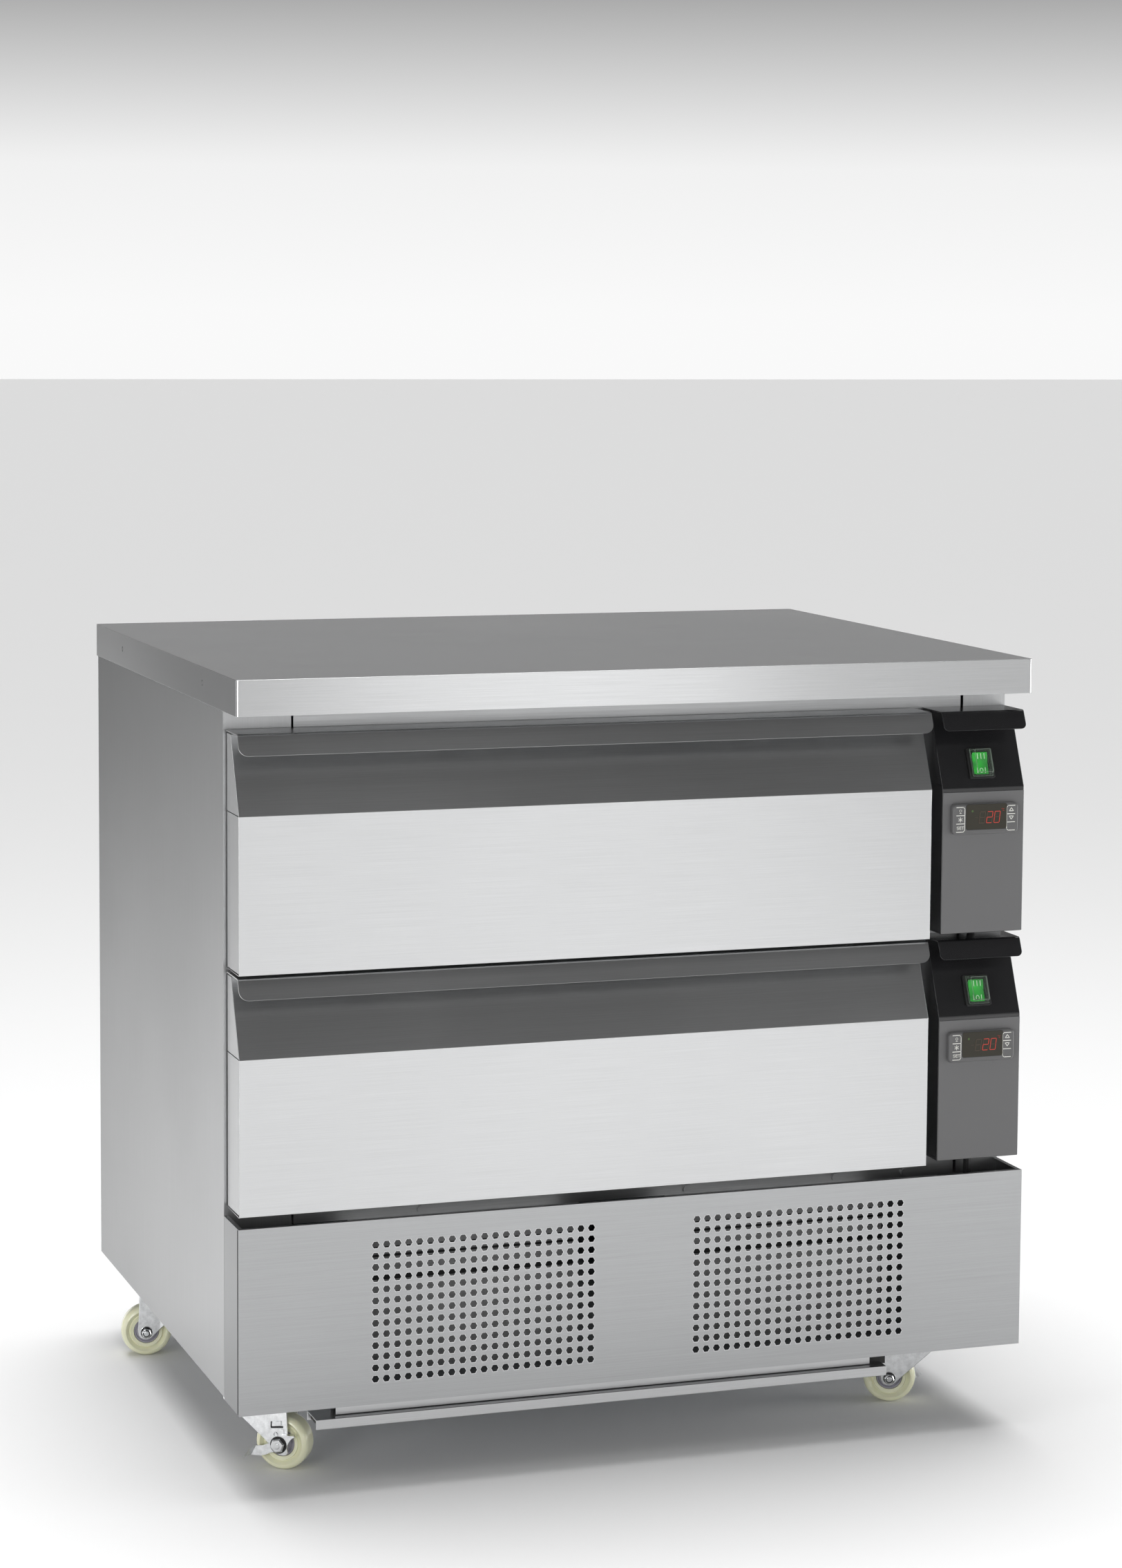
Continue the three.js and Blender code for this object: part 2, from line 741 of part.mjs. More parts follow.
// Control modules: black folded housing with its own lip, grey face plate, lit rocker under a clear cap, controller
const slopeAngle = Math.atan2(fascia.setback, fascia.crease - fascia.sheet);
for (const { name, top } of levels) {
  const bottom = top - fasciaHeight + moduleRise;
  const crease = top - fascia.crease;
  const housingBack = cabinetFront - seat;
  const face = fasciaFace;

  // The slope's own frame: x to the right, y into the module, z up the slope, from the crease
  const onSlope = new THREE.Matrix4()
    .makeTranslation(moduleCentre, face, crease)
    .multiply(new THREE.Matrix4().makeRotationX(-slopeAngle));
  const placed = (solid) => solidOf(geometryOf(solid).applyMatrix4(onSlope));

  const shell = cut(
    prismX(fasciaProfile(top, bottom, housingBack), moduleLeft, moduleRight),
    prismX(
      fasciaProfile(top, bottom, housingBack + overrun, moduleSheet),
      moduleLeft + moduleSheet,
      moduleRight - moduleSheet,
    ),
    placed(
      box(
        -rocker.holeWidth / 2 - rocker.clearance,
        rocker.holeWidth / 2 + rocker.clearance,
        -overrun,
        moduleSheet * 2,
        rocker.above - rocker.holeHeight / 2 - rocker.clearance,
        rocker.above + rocker.holeHeight / 2 + rocker.clearance,
      ),
    ),
    box(
      moduleCentre - controller.bodyWidth / 2 - controller.holeClearance,
      moduleCentre + controller.bodyWidth / 2 + controller.holeClearance,
      face - overrun,
      face + moduleSheet * 2,
      crease - controller.below - controller.bodyHeight / 2 - controller.holeClearance,
      crease - controller.below + controller.bodyHeight / 2 + controller.holeClearance,
    ),
  );
  const flange = box(
    moduleLeft,
    moduleRight,
    frontEdge + moduleLip.bend,
    housingBack,
    top - fascia.sheet - bite,
    top,
  );
  const housing = join(shell, flange, lip(moduleLeft, moduleRight, top, moduleLip));
  piece(`module_housing_${name}`, housing, blackPaint);

  const plate = cut(
    box(
      moduleLeft + seat,
      moduleRight - seat,
      face - seat - overlay.sheet,
      face - seat,
      bottom + seat,
      crease - overlay.below,
    ),
    box(
      moduleCentre - controller.bodyWidth / 2 - controller.holeClearance,
      moduleCentre + controller.bodyWidth / 2 + controller.holeClearance,
      face - overrun,
      face + overrun,
      crease - controller.below - controller.bodyHeight / 2 - controller.holeClearance,
      crease - controller.below + controller.bodyHeight / 2 + controller.holeClearance,
    ),
  );
  piece(`module_face_${name}`, plate, greyPaint);

  const dialZ = crease - controller.below;
  const bezelBack = face - 2 * seat - overlay.sheet;
  const bezelFront = bezelBack - controller.depth;
  const bezel = prismY(
    roundedOutline(
      moduleCentre - controller.width / 2,
      moduleCentre + controller.width / 2,
      dialZ - controller.height / 2,
      dialZ + controller.height / 2,
      controller.corner,
    ),
    bezelFront,
    bezelBack,
    controller.bevel,
  );
  const windowCut = box(
    moduleCentre - controller.windowWidth / 2,
    moduleCentre + controller.windowWidth / 2,
    bezelFront - overrun,
    bezelFront + controller.windowDepth,
    dialZ - controller.windowHeight / 2,
    dialZ + controller.windowHeight / 2,
  );
  const keys = [];
  for (const facing of [-1, 1]) {
    const x = moduleCentre + facing * (controller.width / 2 - controller.keyInset - controller.keyWidth / 2);
    for (let i = 0; i < controllerKeys; i++) {
      const z = dialZ + (i - (controllerKeys - 1) / 2) * controller.keyPitch;
      keys.push(
        box(
          x - controller.keyWidth / 2,
          x + controller.keyWidth / 2,
          bezelFront - controller.keyProud,
          bezelFront + bite,
          z - controller.keyHeight / 2,
          z + controller.keyHeight / 2,
        ),
      );
    }
  }
  const rearBody = box(
    moduleCentre - controller.bodyWidth / 2,
    moduleCentre + controller.bodyWidth / 2,
    bezelBack - bite,
    face + controller.bodyDepth,
    dialZ - controller.bodyHeight / 2,
    dialZ + controller.bodyHeight / 2,
  );
  piece(`controller_${name}`, join(cut(bezel, windowCut), rearBody, ...keys), greyPlastic);

  // Rocker switch, drawn in the slope's frame
  const slope = new THREE.Group();
  slope.applyMatrix4(onSlope);
  counter.add(slope);
  const mid = rocker.above;
  const frameFront = -seat - rocker.frameDepth;
  const frame = cut(
    join(
      box(
        -rocker.frameWidth / 2,
        rocker.frameWidth / 2,
        frameFront,
        -seat,
        mid - rocker.frameHeight / 2,
        mid + rocker.frameHeight / 2,
      ),
      box(
        -rocker.holeWidth / 2,
        rocker.holeWidth / 2,
        -seat - bite,
        rocker.bodyDepth,
        mid - rocker.holeHeight / 2,
        mid + rocker.holeHeight / 2,
      ),
    ),
    box(
      -rocker.holeWidth / 2 + rocker.coverWall,
      rocker.holeWidth / 2 - rocker.coverWall,
      frameFront - overrun,
      rocker.bodyDepth - rocker.coverWall * 2,
      mid - rocker.holeHeight / 2 + rocker.coverWall,
      mid + rocker.holeHeight / 2 - rocker.coverWall,
    ),
  );
  piece(`switch_frame_${name}`, frame, blackPlastic, slope);

  const capFoot = frameFront - seat;
  const capShell = (grow, lift) => {
    const wide = (rocker.holeWidth + rocker.coverWall * 4) / 2 - grow;
    const tall = (rocker.holeHeight + rocker.coverWall * 4) / 2 - grow;
    const topWide = rocker.coverTopWidth / 2 - grow;
    const topTall = rocker.coverTopHeight / 2 - grow;
    const positions = [];
    const corners = [
      [-1, -1],
      [1, -1],
      [1, 1],
      [-1, 1],
    ];
    for (const [u, v] of corners) positions.push(u * wide, capFoot + lift * 2, mid + v * tall);
    for (const [u, v] of corners) positions.push(u * wide, capFoot - rocker.coverFoot, mid + v * tall);
    for (const [u, v] of corners) positions.push(u * topWide, capFoot - rocker.coverHeight + grow, mid + v * topTall);
    const index = [0, 2, 1, 0, 3, 2, 8, 9, 10, 8, 10, 11];
    for (const ring of [0, 4]) {
      for (let i = 0; i < 4; i++) {
        const a = ring + i;
        const b = ring + ((i + 1) % 4);
        index.push(a, b, b + 4, a, b + 4, a + 4);
      }
    }
    const geometry = new THREE.BufferGeometry();
    geometry.setAttribute("position", new THREE.BufferAttribute(new Float32Array(positions), 3));
    geometry.setIndex(index);
    return solidOf(geometry);
  };
  piece(`switch_cap_${name}`, cut(capShell(0, 0), capShell(rocker.coverWall, overrun)), clearPlastic, slope);

  const paddleHalf = rocker.holeHeight / 2 - rocker.coverWall - rocker.clearance;
  const paddleWide = rocker.holeWidth / 2 - rocker.coverWall - rocker.clearance;
  const paddle = prismX(
    outline([
      [rocker.tail, -paddleHalf / 2],
      [rocker.tail, paddleHalf / 2],
      [-rocker.bulge, paddleHalf],
      [-rocker.bulge / 2, 0],
      [-rocker.bulge, -paddleHalf],
    ]),
    -paddleWide,
    paddleWide,
  );
  const paddleMesh = piece(`rocker_${name}`, paddle, greenPlastic, slope);
  paddleMesh.position.set(0, frameFront + rocker.pivot, mid);
  paddleMesh.rotation.x = THREE.MathUtils.degToRad(rocker.restDeg);
}

// Harness: a sleeve from the upper module into the lower one, and another down into the terminal box
{
  const y = frontEdge + harness.setback;
  const upperModuleBottom = topFasciaTop - fasciaHeight + moduleRise;
  const lowerModuleBottom = bottomFasciaTop - fasciaHeight + moduleRise;
  const upper = turnedZ(
    [
      [0, bottomFasciaTop + seat],
      [harness.tip, bottomFasciaTop + seat],
      [harness.radius, upperModuleBottom - seat],
      [0, upperModuleBottom - seat],
    ],
    plainSides,
  );
  piece("harness_sleeve_top", upper.translate([harnessX, y, 0]), darkRubber);

  const start = lowerModuleBottom - seat;
  const turn = floorBottom - terminalBox.height / 2;
  const route = new THREE.CurvePath();
  const down = new THREE.Vector3(harnessX, y, turn + harness.bend);
  const corner = new THREE.Vector3(harnessX, y, turn);
  const back = new THREE.Vector3(harnessX, y + harness.bend, turn);
  route.add(new THREE.LineCurve3(new THREE.Vector3(harnessX, y, start), down));
  route.add(new THREE.QuadraticBezierCurve3(down, corner, back));
  const endY = cabinetFront + terminalBox.inset - seat;
  route.add(new THREE.LineCurve3(back, new THREE.Vector3(harnessX, endY, turn)));
  const section = new THREE.Shape().absarc(0, 0, harness.tip, 0, 4 * quarter);
  const sleeve = new THREE.ExtrudeGeometry(section, { extrudePath: route, steps: fineSides, curveSegments: arcSteps });
  piece("harness_sleeve_bottom", solidOf(sleeve), darkRubber);
}

// Front cover: one sheet folded round the front of the machine compartment, punched with two fields of hexagons
const coverHalf = cabinetRight;
const holeCount = (space) => Math.round(space / grille.pitch) + 1;
const grilleColumns = holeCount(coverHalf - grille.side - grille.middle);
const grilleRows = holeCount(cover.height - grille.low - grille.high);
const fieldWidth = (grilleColumns - 1) * grille.pitch;
const fieldCentre = coverHalf - grille.side - fieldWidth / 2;
{
  const hole = (x, z) => {
    const path = new THREE.Path();
    path.moveTo(x - grille.holeAcross / 2, z);
    path.lineTo(x, z - grille.holeHeight / 2);
    path.lineTo(x + grille.holeAcross / 2, z);
    path.lineTo(x, z + grille.holeHeight / 2);
    path.closePath();
    return path;
  };
  const sheet = outline([
    [-coverHalf, coverBottom],
    [coverHalf, coverBottom],
    [coverHalf, coverTop],
    [-coverHalf, coverTop],
  ]);
  for (const centre of [-fieldCentre, fieldCentre]) {
    for (let column = 0; column < grilleColumns; column++) {
      for (let row = 0; row < grilleRows; row++) {
        const x = centre - fieldWidth / 2 + column * grille.pitch;
        sheet.holes.push(hole(x, coverBottom + grille.low + row * grille.pitch));
      }
    }
  }
  const front = prismY(sheet, coverFace, coverFace + cover.sheet);
  const inFront = coverFace + cover.sheet - bite;
  const back = cabinetFront - seat;
  const returns = [-1, 1].map((facing) => {
    const outer = facing * coverHalf;
    const inner = outer - facing * cover.sheet;
    const hem = outer - facing * cover.hem;
    return join(
      box(Math.min(outer, inner), Math.max(outer, inner), inFront, back, coverBottom, coverTop),
      box(Math.min(outer, hem), Math.max(outer, hem), inFront, back, coverTop - cover.sheet, coverTop),
    );
  });
  const flange = (z0, depth) =>
    box(-coverHalf + bite, coverHalf - bite, inFront, inFront + depth, z0, z0 + cover.sheet);
  const folds = [flange(coverTop - cover.sheet, cover.hem), flange(coverBottom, cover.bottomFlange)];
  piece("front_cover", join(front, ...returns, ...folds), paleSteel);
}

// Base tray, with the castor top plates welded under it
const machineLeft = cabinetLeft + machineWall;
const machineRight = cabinetRight - machineWall;
{
  const x0 = machineLeft + tray.side;
  const x1 = machineRight - tray.side;
  const y0 = frontEdge + tray.front;
  const y1 = cabinetBack - seat;
  const pan = cut(
    box(x0, x1, y0, y1, trayBottom, trayTop + tray.lip),
    box(x0 + tray.sheet, x1 - tray.sheet, y0 + tray.sheet, y1 - tray.sheet, trayTop, trayTop + tray.lip + overrun),
  );
  const plates = castorPlaces.map(({ side, end }) => {
    const x = kingpinX(side);
    const y = kingpinY(end);
    const pad = box(
      x - castor.plateWidth / 2,
      x + castor.plateWidth / 2,
      y - castor.plateLength / 2,
      y + castor.plateLength / 2,
      castorHeight,
      trayBottom + bite,
    );
    const cup = rod("z", castor.cupRadius, castorHeight - castor.cupDepth, castorHeight + bite, x, y, fineSides);
    return join(pad, cup);
  });
  const sockets = castorPlaces.map(({ side, end }) =>
    rod(
      "z",
      castor.pin + castor.pinClearance,
      castorHeight - castor.cupDepth - overrun,
      castorHeight + castor.pinHead / 2,
      kingpinX(side),
      kingpinY(end),
    ),
  );
  piece("base_tray", cut(join(pan, ...plates), ...sockets), zincSteel);
}

// Chassis rails under the tray, where the cover ends
{
  const top = trayBottom - seat;
  const lowTop = castorHeight - (castor.cupDepth + frontRail.sheet + frontRail.height);
  const railLeft = -halfWidth + frontRail.left;
  const railRight = halfWidth - frontRail.right;
  const y = frontEdge + frontRail.topFront;
  const channel = cut(
    box(railLeft + frontRail.inset, railRight - frontRail.inset, y, y + frontRail.topDepth, lowTop + seat, top),
    box(
      railLeft + frontRail.inset - overrun,
      railRight - frontRail.inset + overrun,
      y + frontRail.sheet,
      y + frontRail.topDepth - frontRail.sheet,
      lowTop - overrun,
      top - frontRail.sheet,
    ),
  );
  piece("front_rail_upper", channel, zincSteel);
  const lowY = frontEdge + frontRail.front;
  const lowBottom = lowTop - frontRail.height;
  const lower = cut(
    box(railLeft, railRight, lowY, lowY + frontRail.depth, lowBottom, lowTop),
    box(
      railLeft + frontRail.sheet,
      railRight - frontRail.sheet,
      lowY + frontRail.sheet,
      lowY + frontRail.depth - frontRail.sheet,
      lowBottom - overrun,
      lowTop - frontRail.sheet,
    ),
  );
  piece("front_rail_lower", lower, brushedSteel);
  const rearY = backEdge - rearRail.inset - rearRail.depth;
  const rearHalf = halfWidth - rearRail.side;
  const rear = cut(
    box(-rearHalf, rearHalf, rearY, rearY + rearRail.depth, top - rearRail.height, top),
    box(
      -rearHalf - overrun,
      rearHalf + overrun,
      rearY + frontRail.sheet,
      rearY + rearRail.depth - frontRail.sheet,
      top - rearRail.height - overrun,
      top - frontRail.sheet,
    ),
  );
  piece("rear_rail", rear, zincSteel);
}

// Two condensing units: finned condenser with shroud and fan at the front, compressor behind
for (const [name, x] of [
  ["left", -fieldCentre],
  ["right", fieldCentre],
]) {
  const x0 = x - fieldWidth / 2;
  const x1 = x + fieldWidth / 2;
  const z0 = trayTop + seat;
  const z1 = floorBottom - condenser.headroom;
  const opening = (z1 - z0) / 2 - condenser.margin;
  const middle = (z0 + z1) / 2;
  const y0 = cabinetFront + condenser.setback;
  const y1 = y0 + condenser.coil;
  const grooves = [];
  for (let u = condenser.groovePitch / 2; u < fieldWidth - condenser.groove; u += condenser.groovePitch) {
    grooves.push(
      box(
        x0 + u,
        x0 + u + condenser.groove,
        y0 - overrun,
        y0 + condenser.grooveDepth,
        z0 + condenser.rise,
        z1 - condenser.rise,
      ),
    );
  }
  const shroudBack = y1 + condenser.shroud;
  const barY = shroudBack + condenser.barSetback;
  const shroud = cut(
    box(x0, x1, y1 - bite, shroudBack, z0, z1),
    rod("y", opening, y1 + bite, shroudBack + overrun, x, middle, fineSides),
  );
  const barReach = fieldWidth / 2 - condenser.barInset;
  const bar = box(
    x - barReach,
    x + barReach,
    barY - condenser.barSheet,
    barY,
    middle - condenser.barHeight / 2,
    middle + condenser.barHeight / 2,
  );
  const legs = [-1, 1].map((facing) => {
    const outer = x + facing * barReach;
    const inner = outer - facing * condenser.barSheet;
    return box(
      Math.min(outer, inner),
      Math.max(outer, inner),
      shroudBack - bite,
      barY,
      middle - condenser.barHeight / 2,
      middle + condenser.barHeight / 2,
    );
  });
  const motorFront = barY - condenser.barSheet - bite;
  const motor = rod("y", condenser.motorRadius, motorFront, motorFront + condenser.motorLength, x, middle);
  const block = cut(box(x0, x1, y0, y1, z0, z1), ...grooves);
  piece(`condenser_${name}`, join(block, shroud, bar, ...legs, motor), finAluminium);

  const ring = bladeRing({ ...condenserFan, radius: opening - condenserFan.tipGap }, fanBlades);
  const fan = piece(`condenser_fan_${name}`, ring.solid, blackPlastic);
  fan.position.set(x, motorFront - seat - ring.half, middle);

  const body = compressor.radius;
  const footTop = z0 + compressor.footHeight;
  const plateTop = footTop + compressor.plateSheet;
  const shoulderShares = [
    [0.78, 0],
    [0.97, 0.1],
    [1, 0.3],
    [1, 0.56],
    [0.94, 0.78],
    [0.72, 0.94],
    [0.3, 1],
  ];
  const domeHeight = floorBottom - compressor.headroom - plateTop;
  const profile = [
    [0, plateTop - bite],
    ...shoulderShares.map(([r, h]) => [body * r, plateTop - bite + domeHeight * h]),
    [0, plateTop - bite + domeHeight],
  ];
  const dome = turnedZ(profile, fineSides).translate([x, backEdge - compressor.fromBack, 0]);
  const plateHalf = compressor.plate / 2;
  const centreY = backEdge - compressor.fromBack;
  const base = box(x - plateHalf, x + plateHalf, centreY - plateHalf, centreY + plateHalf, footTop, plateTop);
  const feet = [];
  for (const u of [-1, 1]) {
    for (const v of [-1, 1]) {
      const reach = plateHalf - compressor.foot;
      feet.push(rod("z", compressor.foot, z0, footTop + bite, x + u * reach, centreY + v * reach));
    }
  }
  piece(`compressor_${name}`, join(dome, base, ...feet), compressorPaint);
}

// Rear grille of the machine compartment, with the gland of the mains lead
{
  const y1 = cabinetBack;
  const y0 = y1 - rearGrille.sheet;
  const z0 = trayTop + tray.lip + seat;
  const z1 = floorBottom - 2 * seat;
  const plate = box(machineLeft + seat, machineRight - seat, y0, y1, z0, z1);
  const slots = [];
  const columnPitch = (machineRight - machineLeft - 2 * rearGrille.margin) / rearSlotColumns;
  const slotWidth = columnPitch - rearGrille.web;
  const firstX = (machineLeft + machineRight - (rearSlotColumns - 1) * columnPitch) / 2;
  const firstZ = (z0 + z1) / 2 - ((rearSlotRows - 1) * rearGrille.slotPitch) / 2;
  for (let column = 0; column < rearSlotColumns; column++) {
    for (let row = 0; row < rearSlotRows; row++) {
      const x = firstX + column * columnPitch;
      const z = firstZ + row * rearGrille.slotPitch;
      slots.push(
        box(
          x - slotWidth / 2,
          x + slotWidth / 2,
          y0 - overrun,
          y1 + overrun,
          z - rearGrille.slotHeight / 2,
          z + rearGrille.slotHeight / 2,
        ),
      );
    }
  }
  const plug = rod(
    "y",
    gland.radius,
    y0 - gland.length + cabinetInset,
    backEdge,
    machineRight - gland.inset / 2,
    z0 + gland.rise,
  );
  piece("rear_grille", join(cut(plate, ...slots), plug), brushedSteel);
}

// Castors, drawn with the kingpin on the z axis and the wheel trailing along +x
const axleHeight = castor.wheelRadius;
const legInside = castor.wheelWidth / 2 + castor.legGap;
const legOutside = legInside + castor.leg;
const headStart = legOutside + brake.sheet + 2 * seat;
const raceTop = castorHeight - castor.cupDepth - seat;
const crownTop = raceTop - castor.raceDepth;
const crownBottom = crownTop - castor.crownSheet;
const diagonal = Math.SQRT1_2;
for (const { name, side, end, headingDeg, pedalDeg } of castorPlaces) {
  const swivel = new THREE.Group();
  swivel.position.set(kingpinX(side), kingpinY(end), 0);
  swivel.rotation.z = THREE.MathUtils.degToRad(headingDeg);
  counter.add(swivel);

  const bossEdge = castor.boss * diagonal;
  const heel = [castor.trail - bossEdge, axleHeight - bossEdge];
  const skirtBottom = crownTop - castor.crownSkirt;
  const flareShare = (castor.flareStart + castor.crownBack) / (heel[0] + castor.crownBack);
  const flareBottom = skirtBottom + (heel[1] - skirtBottom) * flareShare;
  const legShape = outline([
    [castor.flareStart, crownTop],
    [castor.flareStart, flareBottom],
    heel,
    [castor.trail, axleHeight - castor.boss],
    [castor.trail + bossEdge, axleHeight - bossEdge],
    [castor.trail + castor.toe, axleHeight],
    [castor.crownFront, crownBottom],
    [castor.crownFront, crownTop],
  ]);
  const flaredShape = outline([
    [-castor.crownBack, crownTop],
    [-castor.crownBack, skirtBottom],
    [castor.flareStart, flareBottom],
    [castor.flareStart + bite, crownTop],
  ]);
  // Behind the wheel the legs spread, so that they reach the edges of the race
  const legs = [-1, 1].map((facing) => {
    const flat = facing < 0 ? [-legOutside, -legInside] : [legInside, legOutside];
    const spread = new THREE.Matrix4()
      .makeTranslation(castor.flareStart, 0, 0)
      .multiply(new THREE.Matrix4().makeShear(-facing * castor.flareSlope, 0, 0, 0, 0, 0))
      .multiply(new THREE.Matrix4().makeTranslation(-castor.flareStart, 0, 0));
    const flared = solidOf(geometryOf(prismY(flaredShape, ...flat)).applyMatrix4(spread));
    return join(prismY(legShape, ...flat), flared);
  });
  const crownSpread = legOutside + (castor.flareStart + castor.crownBack) * castor.flareSlope;
  const crownShape = outline([
    [-castor.crownBack, -crownSpread],
    [castor.flareStart, -legOutside],
    [castor.crownFront, -legOutside],
    [castor.crownFront, legOutside],
    [castor.flareStart, legOutside],
    [-castor.crownBack, crownSpread],
  ]);
  const fork = join(
    ...legs,
    prismZ(crownShape, crownBottom, crownTop),
    rod("z", castor.raceRadius, crownTop - bite, raceTop, 0, 0, fineSides),
    rod("z", castor.pin, crownBottom, castorHeight, 0, 0),
    rod("y", castor.axle, -headStart - bite, legOutside + bite, castor.trail, axleHeight),
    rod("y", castor.head, -headStart - castor.headLength, -headStart, castor.trail, axleHeight, 6),
    rod("y", castor.head, legOutside - bite, legOutside + castor.headLength, castor.trail, axleHeight, 6),
  );
  piece(`castor_fork_${name}`, fork, zincSteel, swivel);

  const half = castor.wheelWidth / 2;
  const r = castor.wheelRadius / Math.cos((2 * quarter) / wheelSides); // its flats, not its corners, meet the floor
  const bore = castor.axle + castor.wheelBore;
  const side1 = [
    [bore, half - seat],
    [tyre.hub, half - seat],
    [tyre.hub + tyre.hubStep, tyre.web],
    [tyre.rim, tyre.web],
    [tyre.rim + tyre.sideStep, half],
    [r, half - tyre.shoulder],
  ];
  const profile = [...side1.map(([u, v]) => [u, -v]), ...side1.reverse()];
  profile.push(profile[0]);
  const points = profile.map(([u, v]) => new THREE.Vector2(u, v));
  const wheel = piece(`wheel_${name}`, solidOf(new THREE.LatheGeometry(points, wheelSides)), nylon, swivel);
  wheel.position.set(castor.trail, 0, axleHeight);
  wheel.rotation.y = (2 * quarter) / wheelSides;

  if (pedalDeg !== undefined) {
    const inner = -legOutside - seat;
    const outer = inner - brake.sheet;
    const b = brake.boss;
    const plate = outline([
      [b, 0],
      [b, b * diagonal],
      [brake.spurEnd, brake.spurRise],
      [brake.spurStart, brake.spurRise],
      [-b * diagonal, b * diagonal],
      [-brake.waist, -brake.waistDrop],
      [-brake.reach, -brake.drop + brake.arm],
      [-brake.reach, -brake.drop],
      [-b * diagonal, -b * diagonal],
      [0, -b],
      [b * diagonal, -b * diagonal],
    ]);
    const lever = cut(
      join(
        prismY(plate, outer, inner),
        box(
          brake.spurStart,
          brake.spurEnd,
          inner - brake.spurWidth,
          inner,
          brake.spurRise - bite,
          brake.spurRise + brake.spurSheet,
        ),
        box(
          -brake.reach - brake.padLength / 2,
          -brake.reach + brake.padLength / 2,
          outer - brake.padWidth,
          inner,
          -brake.drop,
          -brake.drop + brake.padSheet,
        ),
      ),
      rod("y", castor.axle + castor.axleClearance, outer - overrun, inner + overrun, 0, 0),
    );
    const mesh = piece(`brake_pedal_${name}`, lever, zincSteel, swivel);
    mesh.position.set(castor.trail, 0, axleHeight);
    mesh.rotation.y = THREE.MathUtils.degToRad(pedalDeg);
  }
}

export default counter;
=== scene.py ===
from math import atan2, cos, hypot, pi, radians, sin

import bmesh
import bpy
from mathutils import Matrix, Vector


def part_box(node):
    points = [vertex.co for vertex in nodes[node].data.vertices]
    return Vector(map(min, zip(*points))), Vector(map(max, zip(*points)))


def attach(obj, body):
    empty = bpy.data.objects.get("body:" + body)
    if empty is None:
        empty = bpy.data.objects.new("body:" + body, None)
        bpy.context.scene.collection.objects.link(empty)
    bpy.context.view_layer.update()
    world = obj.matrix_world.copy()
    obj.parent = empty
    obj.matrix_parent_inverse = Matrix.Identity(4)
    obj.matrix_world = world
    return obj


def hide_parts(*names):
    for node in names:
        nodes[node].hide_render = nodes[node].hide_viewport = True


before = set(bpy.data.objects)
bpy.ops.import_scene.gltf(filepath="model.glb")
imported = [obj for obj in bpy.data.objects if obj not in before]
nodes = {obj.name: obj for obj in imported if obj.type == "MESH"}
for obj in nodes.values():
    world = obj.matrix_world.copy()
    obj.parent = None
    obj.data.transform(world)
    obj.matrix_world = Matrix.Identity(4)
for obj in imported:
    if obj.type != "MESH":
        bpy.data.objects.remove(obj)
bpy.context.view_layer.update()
scene = bpy.context.scene

# Studio: a pale paper floor that turns grey far to the left, where the left side panel mirrors it.
# The sky is pale at the horizon, and dark where the sloping faces and the worktop mirror it.
# Six soft cards and a wide sun from behind light the steel, and a spot makes a pool on the floor.


def set_up(thing, **settings):
    for setting, value in settings.items():
        setattr(thing, setting, value)


def add_object(name, data):
    thing = bpy.data.objects.new(name, data)
    scene.collection.objects.link(thing)
    return thing


def add_node(tree, kind, values=None, links=None, **settings):
    """A shader node with its settings, with values on its own sockets and others linked into it."""
    node = tree.nodes.new(f"ShaderNode{kind}")
    set_up(node, **settings)
    for socket, value in (values or {}).items():
        node.inputs[socket].default_value = value
    for socket, source in (links or {}).items():
        tree.links.new(source, node.inputs[socket])
    return node


def shader_of(material):
    return material.node_tree.nodes["Principled BSDF"]


def plain_material(name, colour, roughness, metallic=0.0, others=None):
    material = bpy.data.materials.new(name)
    material.use_nodes = True
    values = {"Base Color": (*colour, 1), "Roughness": roughness, "Metallic": metallic, **(others or {})}
    for socket, value in values.items():
        shader_of(material).inputs[socket].default_value = value
    return material


floor_reach = 60.0
floor_grey, left_floor_grey = 0.86, 0.3
floor_mesh = bpy.data.meshes.new("studio_floor")
floor_mesh.from_pydata(
    [(x * floor_reach, y * floor_reach, 0) for x, y in ((-1, -1), (1, -1), (1, 1), (-1, 1))],
    [], [(0, 1, 2, 3)],
)
floor = add_object("studio_floor", floor_mesh)
floor_paint = plain_material("floor_paint", (floor_grey,) * 3, 0.75, others={"Specular IOR Level": 0.2})
floor_mesh.materials.append(floor_paint)
floor_tree = floor_paint.node_tree
floor_place = add_node(floor_tree, "TexCoord")
leftwards = add_node(
    floor_tree, "VectorMath", {1: (-0.988, 0.156, 0)}, {0: floor_place.outputs["Object"]},
    operation="DOT_PRODUCT",
)
paper_edge = add_node(
    floor_tree, "MapRange",
    {"From Min": 1.4, "From Max": 3.4, "To Min": floor_grey, "To Max": left_floor_grey},
    {"Value": leftwards.outputs["Value"]}, interpolation_type="SMOOTHSTEP",
)
floor_tree.links.new(paper_edge.outputs["Result"], shader_of(floor_paint).inputs["Base Color"])

world = bpy.data.worlds.new("studio_sky")
scene.world = world
world.use_nodes = True
sky = world.node_tree
sky_direction = add_node(sky, "TexCoord")
sky_parts = add_node(sky, "SeparateXYZ", links={0: sky_direction.outputs["Generated"]})


def sky_ramp(stops):
    ramp = add_node(sky, "ValToRGB", links={"Fac": sky_parts.outputs["Z"]})
    while len(ramp.color_ramp.elements) < len(stops):
        ramp.color_ramp.elements.new(0.5)
    for element, (place, grey) in zip(ramp.color_ramp.elements, stops):
        element.position = place
        element.color = (grey, grey, grey, 1)
    return ramp.outputs["Color"]


